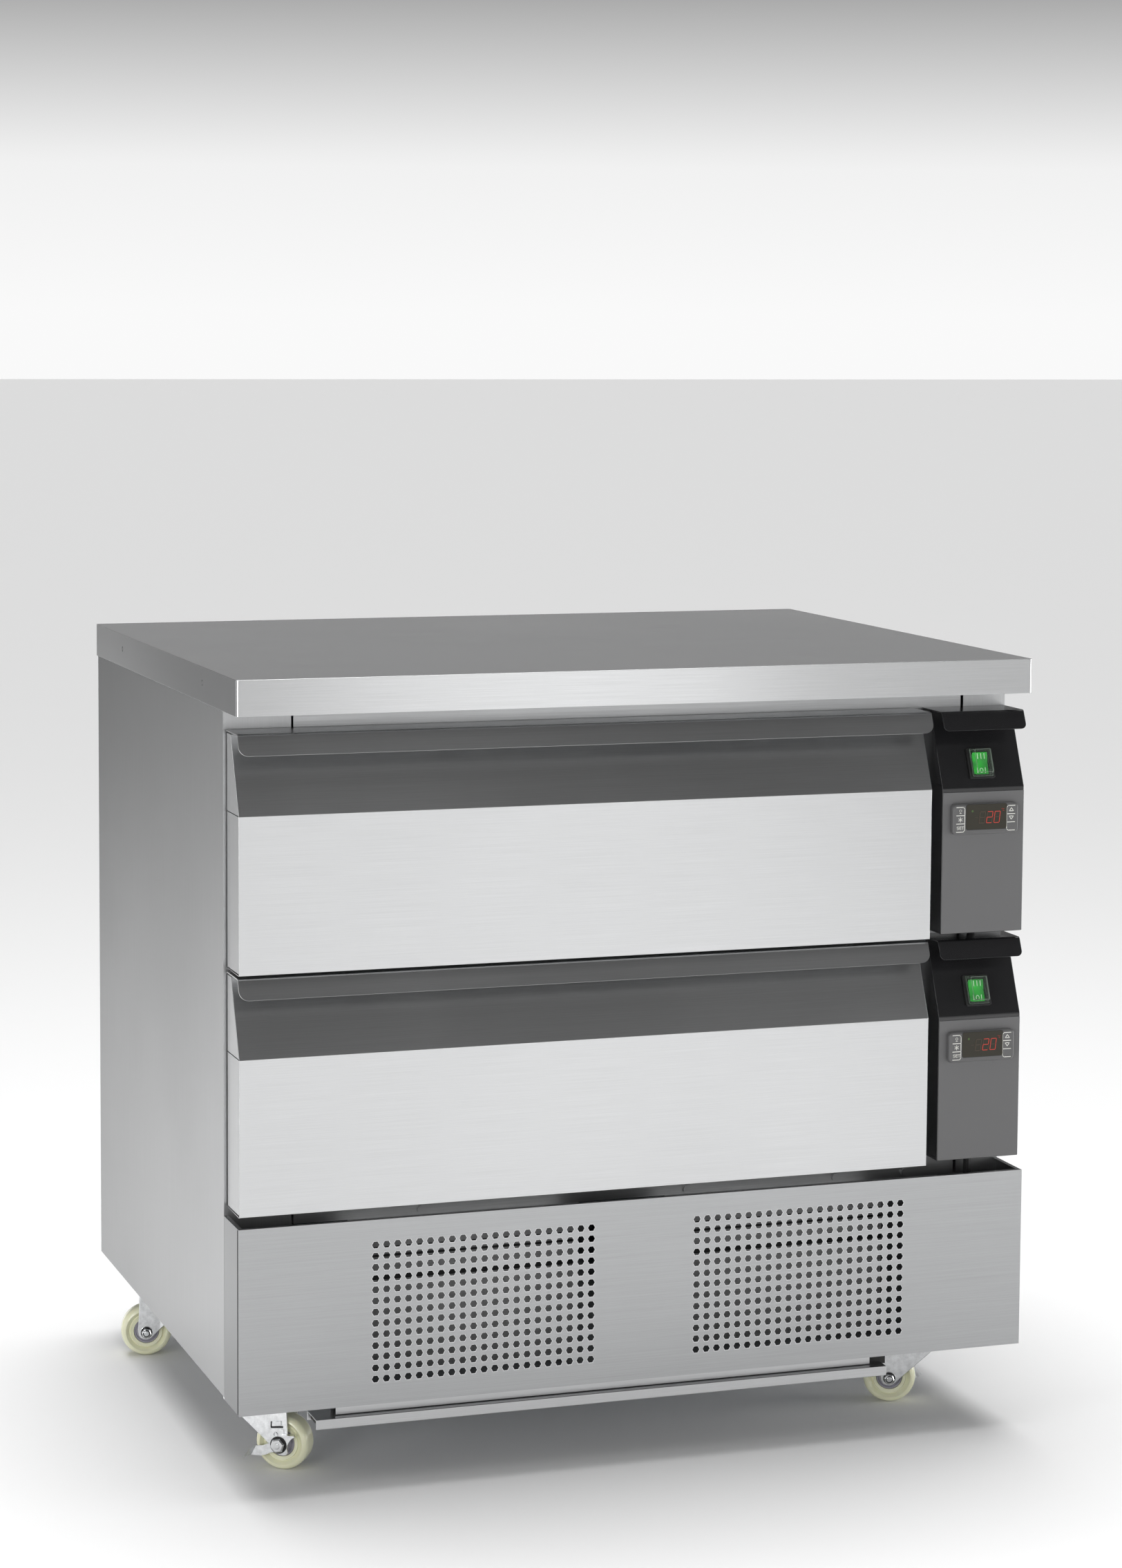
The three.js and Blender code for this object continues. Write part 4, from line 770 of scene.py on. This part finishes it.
# Thin grey frames on the cap's inner and outer rims are painted highlight on its clear edges.
edge_width = 0.00045
hood_edge_highlights = together(*[
    frame_of(
        switch_outline(half_x, half_z), switch_outline(half_x - edge_width, half_z - edge_width, 0.001),
        y, y + 0.0003,
    )
    for half_x, half_z, y in ((0.0097, 0.0132, -0.0129), (0.0122, 0.0157, -0.0048))
])
paddle = prism(
    [(0.006, -0.0061), (0.006, 0.0061), (-0.0034, 0.0122), (-0.0026, 0.006), (-0.0017, 0),
     (-0.0026, -0.006), (-0.0034, -0.0122)],
    -0.0087, 0.0087, "x",
)
mark_z, mark_y = 0.0078, -0.0036
ticks = [
    stroke([(x, z - 0.0026), (x, z + 0.0026)], 0.0008, mark_y)
    for z, xs in ((mark_z, (-0.0031, 0.0008, 0.0047)), (-mark_z, (-0.0045, 0.0045))) for x in xs
]
nought = [(0.0018 * u, 0.0024 * v - mark_z) for u, v in circle(1, 12)]
rocker_marks = together(*ticks, stroke(nought, 0.0006, mark_y, closed=True))

for level, top in grip_tops.items():
    bottom, crease = top - module_drop, top - crease_drop
    housing = [(module_back, bottom), (face_y, bottom), (face_y, crease),
               (face_y + setback, top - module_gauge), (module_back, top - module_gauge)]
    soften(add_piece(
        f"module_shell_{level}", prism(housing, module_left, module_right, "x"), gloss_black, "cabinet",
        "black_paint", f"module_housing_{level}",
    ), 0.0012, 3, 15)
    soften(add_piece(
        f"module_grip_{level}",
        grip(module_left, module_right, top, 0.02, 0.006, module_gauge, module_back),
        gloss_black, "cabinet", "black_paint",
    ), 0.0005, 2, 40)
    overlay = block(
        (module_left + overlay_inset, module_right - overlay_inset),
        (face_y - overlay_rise, face_y + overlay_sunk), (bottom + overlay_inset, crease - 0.004),
    )
    soften(add_piece(
        f"face_overlay_{level}", overlay, matt_grey, "cabinet", "grey_paint", f"module_face_{level}"
    ), 0.0004)

    module_middle = (module_left + module_right) / 2
    on_face = Matrix.Translation((module_middle, face_y - overlay_rise - dial_depth, crease - dial_drop))
    smooth(add_piece(
        f"thermostat_body_{level}", placed(dial_body, on_face), bezel_grey, "cabinet", "grey_plastic",
        f"controller_{level}",
    ), 30)
    soften(add_piece(
        f"thermostat_window_{level}", placed(dial_window, on_face), window_glass, "cabinet", "grey_plastic"
    ), 0.0002)
    for name, shape, finish, slot in (
        ("window_border", dial_border, switch_black, "grey_plastic"),
        ("figures_lit", lit_figures, segment_lit, "grey_plastic"),
        ("figures_dark", dark_figures, segment_off, "grey_plastic"),
        ("running_lamp", running_lamp, lamp_green, "green_plastic"),
        ("key_marks", key_marks, white_print, "grey_plastic"),
    ):
        add_piece(f"{name}_{level}", placed(shape, on_face), finish, "cabinet", slot)

    on_slope = Matrix.Translation((module_middle, face_y, crease)) @ Matrix.Rotation(-slope_lean, 4, "X")
    soften(add_piece(
        f"switch_bezel_{level}", placed(switch_ring, on_slope), switch_black, "cabinet", "black_plastic",
        f"switch_frame_{level}",
    ), 0.0006)
    smooth(add_piece(
        f"switch_hood_{level}", placed((hood_points, hood_faces), on_slope), clear_cap, "cabinet",
        "clear_plastic", f"switch_cap_{level}",
    ), 30)
    # Painted highlight on the cap's edges.
    add_piece(f"hood_edge_highlights_{level}", placed(hood_edge_highlights, on_slope), cap_edge_highlight, "cabinet", "clear_plastic")
    soften(add_piece(
        f"rocker_lens_{level}", placed(paddle, on_slope @ rock), lit_green, f"rocker_{level}",
        "green_plastic", f"rocker_{level}",
    ), 0.0005)
    add_piece(
        f"rocker_marks_{level}", placed(rocker_marks, on_slope @ rock), white_print, f"rocker_{level}",
        "green_plastic",
    )

# Harness: the modules' leads, bundled in a black plastic sleeve.
# It runs from the upper module to the lower one and on down behind the cover.
sleeve_black = speckled("sleeve_black", (0.015, 0.015, 0.016), 0.45, 700.0, 0.4, 0.0005)
finish_nodes(sleeve_black, "harness_sleeve_top", "harness_sleeve_bottom")

# Front cover: one folded sheet, open at the top, its edges hemmed and turned in.
# Two fields of hexagons are punched for the condensers behind, and each hole has a bright cut rim, drawn as
# a lighter ring on the face: partly the cut edge, partly painted highlight.
# It hangs on the floor rail's screws and can be lifted away.
cover_low, cover_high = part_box("front_cover")
cover_steel = brushed_steel("cover_steel", 0.375, 0.31, along_x, 0.08)
pitch = 0.012
hexagon_reach = 0.0041
field_columns, field_rows = 21, 13
field_low = cover_low.z + 0.027 - pitch / 2
field_margin = 0.1475
field_starts = [
    cover_low.x + field_margin - pitch / 2, cover_high.x - field_margin - (field_columns - 0.5) * pitch
]
sheet_front = cover_low.y
cover_gauge = 0.0014
rim_depth, rim_grow = 0.0001, 1.17

lines_x = [cover_low.x]
for start in field_starts:
    lines_x += [start + pitch * i for i in range(field_columns + 1)]
lines_x.append(cover_high.x)
lines_z = [cover_low.z] + [field_low + pitch * i for i in range(field_rows + 1)] + [cover_high.z]
punched = {column for start in (1, field_columns + 2) for column in range(start, start + field_columns)}
cover_points, cover_faces = [], []
for y in (sheet_front, sheet_front + cover_gauge):
    cover_points += [(x, y, z) for z in lines_z for x in lines_x]
width_count = len(lines_x)
layer = width_count * len(lines_z)
for row in range(len(lines_z) - 1):
    for column in range(width_count - 1):
        corner = row * width_count + column
        square = [corner, corner + 1, corner + width_count + 1, corner + width_count]
        if column not in punched or not 1 <= row <= field_rows:
            cover_faces += [tuple(square), tuple(layer + i for i in square)]
            continue
        hole_x = (lines_x[column] + lines_x[column + 1]) / 2
        hole_z = (lines_z[row] + lines_z[row + 1]) / 2
        rims = []
        for depth, grow in ((0, rim_grow), (rim_depth, 1.0), (cover_gauge, 1.0)):
            start = len(cover_points)
            cover_points += [
                (hole_x + u, sheet_front + depth, hole_z + v)
                for u, v in circle(hexagon_reach * grow, 6, 180)
            ]
            rims.append([start + i for i in range(6)])
        for shift, rim in ((0, rims[0]), (layer, rims[2])):
            a, b, c, d = (shift + i for i in square)
            cover_faces += [
                (a, b, rim[2], rim[1]), (b, rim[3], rim[2]), (b, c, rim[3]), (c, rim[4], rim[3]),
                (c, d, rim[5], rim[4]), (d, rim[0], rim[5]), (d, a, rim[0]), (a, rim[1], rim[0]),
            ]
        for here, there in zip(rims, rims[1:]):
            cover_faces += [(here[i], here[(i + 1) % 6], there[(i + 1) % 6], there[i]) for i in range(6)]
outer_edge = [
    *range(width_count - 1), *range(width_count - 1, layer - 1, width_count),
    *range(layer - 1, layer - width_count, -1), *range(layer - width_count, 0, -width_count),
]
for here, there in zip(outer_edge, outer_edge[1:] + outer_edge[:1]):
    cover_faces.append((here, layer + here, layer + there, there))
cover_sheet = add_piece(
    "cover_sheet", (cover_points, cover_faces), cover_steel, "cabinet", "cover_steel", "front_cover"
)
# The rims take the lighter cap steel: painted highlight where the cut edges catch the light.
cover_sheet.data.materials.append(cap_steel)
for face in cover_sheet.data.polygons:
    if 0 < face.center.y - sheet_front < rim_depth:
        face.material_index = 1

fold_steel = brushed_steel("fold_steel", 0.3, 0.31, along_z, 0.06)
behind = sheet_front + cover_gauge
hem_start, hem_end, flange_start = 0.0015, 0.005, 0.0052
fold_pieces = []
for side in (-1, 1):
    outer = cover_high.x * side
    fold_pieces += [
        block((outer - side * cover_gauge, outer), (behind, cover_high.y), (cover_low.z, cover_high.z)),
        block(
            (outer - side * hem_end, outer - side * hem_start), (behind + 0.0001, cover_high.y),
            (cover_high.z - cover_gauge, cover_high.z),
        ),
    ]
for z, depth in ((cover_high.z - cover_gauge, 0.0045), (cover_low.z, 0.0105)):
    fold_pieces.append(block(
        (cover_low.x + flange_start, cover_high.x - flange_start), (behind, behind + depth),
        (z, z + cover_gauge),
    ))
soften(add_piece("cover_folds", together(*fold_pieces), fold_steel, "cabinet", "cover_steel"), 0.0003, 1)
# Near-black strips at the cover's side edges are painted shade in the gaps beside it.
gap_in, gap_out, gap_front, gap_back, gap_trim = 0.447602, 0.44805, -0.3466, -0.3426, 0.001
side_gap_shade = together(*[
    block(
        (side * gap_in, side * gap_out), (gap_front, gap_back),
        (cover_low.z + gap_trim, cover_high.z - gap_trim),
    )
    for side in (-1, 1)
])
add_piece("cover_side_gaps", side_gap_shade, shade_and_seam_black, "cabinet", "cover_steel")

# Machine compartment: a zinc-plated tray on rails carries two condensing units side by side.
# Each has a finned condenser at the front with its fan behind it, and a black welded compressor.
# The drip channel and the rail hang under the cover, folded from thin sheet.
bright_zinc = brushed_steel("bright_zinc", 0.5, 0.3, along_x, 0.08)
fin_metal = brushed_steel("fin_metal", 0.42, 0.4, along_z, 0.25, tint=0.01)
tray_zinc = brushed_steel("tray_zinc", 0.5, 0.4, along_x, 0.12, tint=0.02)
compressor_black = speckled("compressor_black", (0.012, 0.012, 0.013), 0.3, 400.0, 0.3, 0.0006)
fan_black = speckled("fan_black", (0.014, 0.014, 0.015), 0.45, 1500.0, 0.2, 0.0002)
finish_nodes(fin_metal, "condenser_left", "condenser_right")
finish_nodes(
    fan_black, "condenser_fan_left", "condenser_fan_right", "evaporator_fan_top", "evaporator_fan_bottom"
)
finish_nodes(compressor_black, "compressor_left", "compressor_right")
finish_nodes(tray_zinc, "base_tray", "rear_rail")

# A plain grey face stands before each condenser, in sight through the holes, with near-black bands of
# painted shade across it.
# The bands' heights count rows of holes, less the fall of the line of sight behind them.
coil_grey = speckled("coil_grey", (0.42, 0.42, 0.425), 0.7, 1200.0, 0.2, 0.0003)
coil_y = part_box("condenser_left")[0].y
sight_slope = 0.27
coil_margin, coil_depth, shade_band_depth = 0.004, 0.001, 0.0016
sight_drop = (coil_y - sheet_front) * sight_slope
for side, start in zip(("left", "right"), field_starts):
    coil_xs = (start - coil_margin, start + field_columns * pitch + coil_margin)
    coil = block(coil_xs, (coil_y - coil_depth, coil_y), (field_low - 0.01, cover_high.z - coil_margin))
    add_piece(f"coil_face_{side}", coil, coil_grey, "cabinet", "fin_aluminium")
    bands = []
    for rows_up, height in ((11.72, 0.0028), (11.02, 0.0026), (9.06, 0.0054)):
        band_z = field_low + (rows_up + 0.5) * pitch - sight_drop
        bands.append(block(
            coil_xs, (coil_y - shade_band_depth, coil_y - 0.9 * coil_depth),
            (band_z - height / 2, band_z + height / 2),
        ))
    add_piece(f"coil_shade_bands_{side}", together(*bands), shade_and_seam_black, "cabinet", "fin_aluminium")

# Both rails end short of their solids on the right. A near-black block inside each channel, and one past the
# upper rail's end, are painted shade of the dark recesses there.
rail_gauge, shade_start, shade_end = 0.0018, 0.004, 0.006
for name, slot, short in (("front_rail_upper", "zinc", 0.030), ("front_rail_lower", "cover_steel", 0.038)):
    low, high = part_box(name)
    front, rear, ceiling = low.y + rail_gauge, high.y - rail_gauge, high.z - rail_gauge
    channel = [(low.y, low.z), (front, low.z), (front, ceiling), (rear, ceiling), (rear, low.z),
               (high.y, low.z), (high.y, high.z), (low.y, high.z)]
    soften(add_piece(
        f"folded_{name}", prism(channel, low.x, high.x - short, "x"), bright_zinc, "cabinet", slot, name
    ), 0.0008)
    # Painted shade: a near-black block inside the channel.
    shade = block((low.x + shade_start, low.x + shade_end), (front, rear), (low.z + rail_gauge, ceiling))
    add_piece(f"shade_in_{name}", shade, shade_and_seam_black, "cabinet", slot)
    if name == "front_rail_upper":
        # Painted shade: a near-black block filling the recess past the upper rail's end.
        recess = block(
            (high.x - short - 0.001, high.x - 0.009), (low.y + 0.006, high.y - 0.001),
            (low.z - 0.002, high.z - 0.0005),
        )
        add_piece("rail_end_shade", recess, shade_and_seam_black, "cabinet", slot)

# Castors: zinc-plated pressed forks on a ball race, with a cream nylon wheel on a bolted axle.
# Each fork's legs run flat past the wheel and spread behind it, and the sheet is cut away on a slant.
# The two at the front have a foot brake: a lever on the axle whose tab bends out over a riveted plate.
fork_zinc = brushed_steel("fork_zinc", 0.76, 0.3, (160.0, 160.0, 160.0), 0.2, 60.0, tint=0.01)
bolt_zinc = plain_material("bolt_zinc", (0.72, 0.73, 0.74), 0.14, 1.0)
cream_nylon = speckled(
    "cream_nylon", (0.8, 0.8, 0.58), 0.16, 120.0, 0.05, 0.0005,
    {"Subsurface Weight": 0.15, "Subsurface Radius": (0.004, 0.003, 0.0015), "Coat Weight": 0.3},
)
hub_grey = speckled("hub_grey", (0.34, 0.33, 0.38), 0.35, 800.0, 0.15, 0.0003)

wheel_radius = 0.030
trail = 0.027
leg_in, leg_out = 0.0145, 0.0173
crown_low, crown_top, crown_reach = 0.0862, 0.089, 0.034
spread_from = 0.011
race_radius, race_top = 0.0222, 0.0922
bolt_radius = 0.004
head_height, head_chamfer = 0.0049, 0.0013
tyre_half, tyre_round, tyre_flat = 0.013, 0.0058, 0.0075
plate_y = 0.0181


def turned(profile, centre, sides=64, closed=True):
    """A shape turned about the local y axis through a centre: pairs of radius and place along the axis."""
    return loft([
        [(centre[0] + u, centre[1] + along, centre[2] + v) for u, v in circle(radius, sides)]
        for radius, along in profile
    ], closed=closed)


def spread(x):
    return max(spread_from - x, 0) * 0.2


def fork_leg(side):
    """One leg of sheet: flat in front of the bend line, spread behind it."""
    flat = [(spread_from, crown_top), (crown_reach, crown_top), (0.0346, 0.08), (0.037, 0.0325),
            (0.0362, 0.0268), (0.034, 0.0232), (0.0305, 0.0214), (0.0262, 0.0211), (0.0228, 0.0222),
            (0.0206, 0.0238), (spread_from, 0.0332)]
    flare = [(-crown_reach, 0.0772), (-crown_reach, crown_top)]
    points = [(x, side * (leg + spread(x)), z) for leg in (leg_out, leg_in) for x, z in flat + flare]
    count, bend = len(flat) + len(flare), len(flat) - 1
    faces = []
    for start in (0, count):
        faces.append(tuple(start + i for i in range(bend + 1)))
        faces.append(tuple(start + i for i in (bend, bend + 1, bend + 2, 0)))
    faces += [(i, (i + 1) % count, count + (i + 1) % count, count + i) for i in range(count)]
    return points, faces


crown = prism(
    [(-crown_reach, -leg_in - spread(-crown_reach)), (spread_from, -leg_in), (crown_reach, -leg_in),
     (crown_reach, leg_in), (spread_from, leg_in), (-crown_reach, leg_in + spread(-crown_reach))],
    crown_low, crown_top, "z",
)
fork = together(fork_leg(-1), fork_leg(1), crown)
race = loft([
    [(u, v, height) for u, v in circle(radius, 40)] for radius, height in
    ((race_radius, crown_top - 0.0002), (race_radius + 0.0008, crown_top + 0.001), (race_radius, race_top))
])

axle = (trail, 0, wheel_radius)
bolt_parts = [turned([(bolt_radius, -0.0199), (bolt_radius, leg_out)], axle, 24, closed=False)]
nut_parts = [turned([(0.0074, leg_out), (0.0074, leg_out + 0.0009)], axle, 40, closed=False)]
for parts, side, start, head in (
    (bolt_parts, -1, 0.0199, 0.0082), (nut_parts, 1, leg_out + 0.0013, 0.0062)
):
    end = start + head_height
    parts.append(loft([
        [(axle[0] + u, side * reach, axle[2] + v) for u, v in circle(radius, 6, 12)]
        for radius, reach in ((head, start), (head, end - 0.0011), (head - head_chamfer, end))
    ]))
    tip = [(0.0034, side * (end - 0.001)), (0.0034, side * end), (0.0028, side * (end + 0.0005))]
    parts.append(turned(tip, axle, 24, closed=False))
axle_bolt = together(*bolt_parts, *nut_parts)
# Near-black rings behind the nut and round the bolt's end are painted shade.
nut_shade_rings = together(
    turned([(0.0068, leg_out), (0.0068, leg_out + 0.0014)], axle, 40, closed=False),
    turned([(0.0042, leg_out + 0.005), (0.0042, leg_out + 0.0064)], axle, 32, closed=False),
)

tread = [
    (wheel_radius - tyre_round + tyre_round * sin(t), tyre_half - tyre_flat + tyre_flat * cos(t))
    for t in (radians(15 * i) for i in range(7))
]
rim = [(0.0148, 0.0092), (0.0151, 0.0108), (0.0186, 0.0113), (0.0192, 0.0094), (0.0203, 0.0092)]
tyre_side = rim + tread
tyre = turned([(r, -a) for r, a in tyre_side] + tyre_side[::-1], axle)
hub_half = [(0.0048, 0.0124), (0.0092, 0.0124), (0.0098, 0.0108), (0.0108, 0.0104), (0.0112, 0.0086),
            (0.0126, 0.0084), (0.013, 0.0097), (0.0146, 0.0097)]
hub = turned([(r, -a) for r, a in hub_half] + hub_half[::-1], axle)

# The brake's parts are drawn round the axle.
plate_outline = [
    (-0.0116, -0.004), (-0.0118, 0.0142), (-0.0106, 0.0158), (-0.0085, 0.016), (-0.0085, 0.0174),
    (0.003, 0.0174), (0.003, 0.0164), (0.0046, 0.0172), (0.0058, 0.0158), (0.0058, -0.004),
]
tongue = [(-0.0078, 0.0196), (0.0026, 0.021), (0.0028, 0.0262), (-0.0076, 0.0248)]
brake_plate = together(
    prism(plate_outline, -plate_y, -leg_out + 0.0002, "y"),
    turned([(0.0012, -plate_y), (0.0016, -0.019), (0.0024, -0.0191), (0.0031, -0.018)],
           (-0.0038, 0, 0.0108), 28),
    prism(tongue, -plate_y - 0.001, -leg_out + 0.0002, "y"),
)
seam_x_z = (
    [(-0.0096, 0.0172), (0.0046, 0.0184), (0.0046, 0.0206), (-0.0096, 0.0196)],
    [(-0.0098, 0.0186), (-0.008, 0.0186), (-0.0078, 0.0246), (-0.0096, 0.0246)],
)
plate_slots = together(
    turned([(0.0094, -0.0196), (0.0094, -0.0199)], (0, 0, 0), 40, closed=False),
    *(prism(outline, -0.0176, -leg_out, "y") for outline in seam_x_z),
    prism([(-0.0068, 0.0054), (-0.0062, 0.0048), (-0.0022, 0.0086), (-0.0028, 0.0092)],
          -0.01825, -0.018, "y"),
)
lever_in, lever_out = -leg_out - 0.0004, -leg_out - 0.0023
lever_outline = [
    (0.0024, 0.0106), (0.0168, 0.0106), (0.0174, 0.0098), (0.014, 0.0068), (0.0118, 0.0036),
    (0.0096, -0.001), (0.0094, -0.004), (0.0102, -0.008), (0.0088, -0.0104), (0.0055, -0.0112),
    (0.001, -0.0106), (-0.002, -0.0092), (-0.0053, -0.0082), (-0.009, -0.0092), (-0.0145, -0.012),
    (-0.02, -0.0136), (-0.0318, -0.0139), (-0.0262, -0.003), (-0.018, -0.002), (-0.009, 0.0018),
    (-0.0098, 0.0048), (-0.0066, 0.0088),
]
claw = [(0.0044, -0.0236), (0.0196, -0.0236), (0.0168, lever_in), (0.0044, lever_in)]
tab = loft([
    [(-0.0262, lever_in, -0.003), (-0.0318, lever_in, -0.0139), (-0.0318, lever_out, -0.0139),
     (-0.0262, lever_out, -0.003)],
    [(-0.0294, -0.0306, -0.0026), (-0.0366, -0.0306, -0.0138), (-0.036, -0.0324, -0.0138),
     (-0.0288, -0.0324, -0.0026)],
])
brake_lever = together(
    prism(lever_outline, lever_out, lever_in, "y"), prism(claw, 0.0106, 0.0124, "z"), tab
)

left_x, right_x, castor_y = -0.392, 0.376, 0.224
for name, x, y, heading, pedal in (
    ("front_left", left_x, -castor_y, -36, 0),
    ("front_right", right_x, -castor_y, 157, 8),
    ("rear_left", left_x, castor_y, 168, None),
    ("rear_right", right_x, castor_y, 100, None),
):
    stand = Matrix.Translation((x, y, 0)) @ Matrix.Rotation(radians(heading), 4, "Z")
    body = f"castor_{name}"
    soften(add_piece(
        f"fork_{name}", placed(fork, stand), fork_zinc, body, "zinc", f"castor_fork_{name}"
    ), 0.0007, 2, 8)
    smooth(add_piece(f"race_{name}", placed(race, stand), bolt_zinc, body, "zinc"))
    soften(add_piece(f"axle_bolt_{name}", placed(axle_bolt, stand), bolt_zinc, body, "zinc"), 0.0005)
    add_piece(f"nut_shade_rings_{name}", placed(nut_shade_rings, stand), shade_and_seam_black, body, "zinc")
    smooth(add_piece(
        f"tyre_{name}", placed(tyre, stand), cream_nylon, f"wheel_{name}", "cream_nylon", f"wheel_{name}"
    ), 40)
    smooth(add_piece(f"hub_{name}", placed(hub, stand), hub_grey, f"wheel_{name}", "cream_nylon"), 30)
    if pedal is None:
        continue
    at_axle = stand @ Matrix.Translation(axle)
    soften(add_piece(f"brake_plate_{name}", placed(brake_plate, at_axle), fork_zinc, body, "zinc"), 0.0004)
    add_piece(f"plate_slots_{name}", placed(plate_slots, at_axle), shade_and_seam_black, body, "zinc")
    swing = at_axle @ Matrix.Rotation(radians(pedal), 4, "Y")
    soften(add_piece(
        f"brake_lever_{name}", placed(brake_lever, swing), fork_zinc, f"brake_{name}", "zinc",
        f"brake_pedal_{name}",
    ), 0.0005)
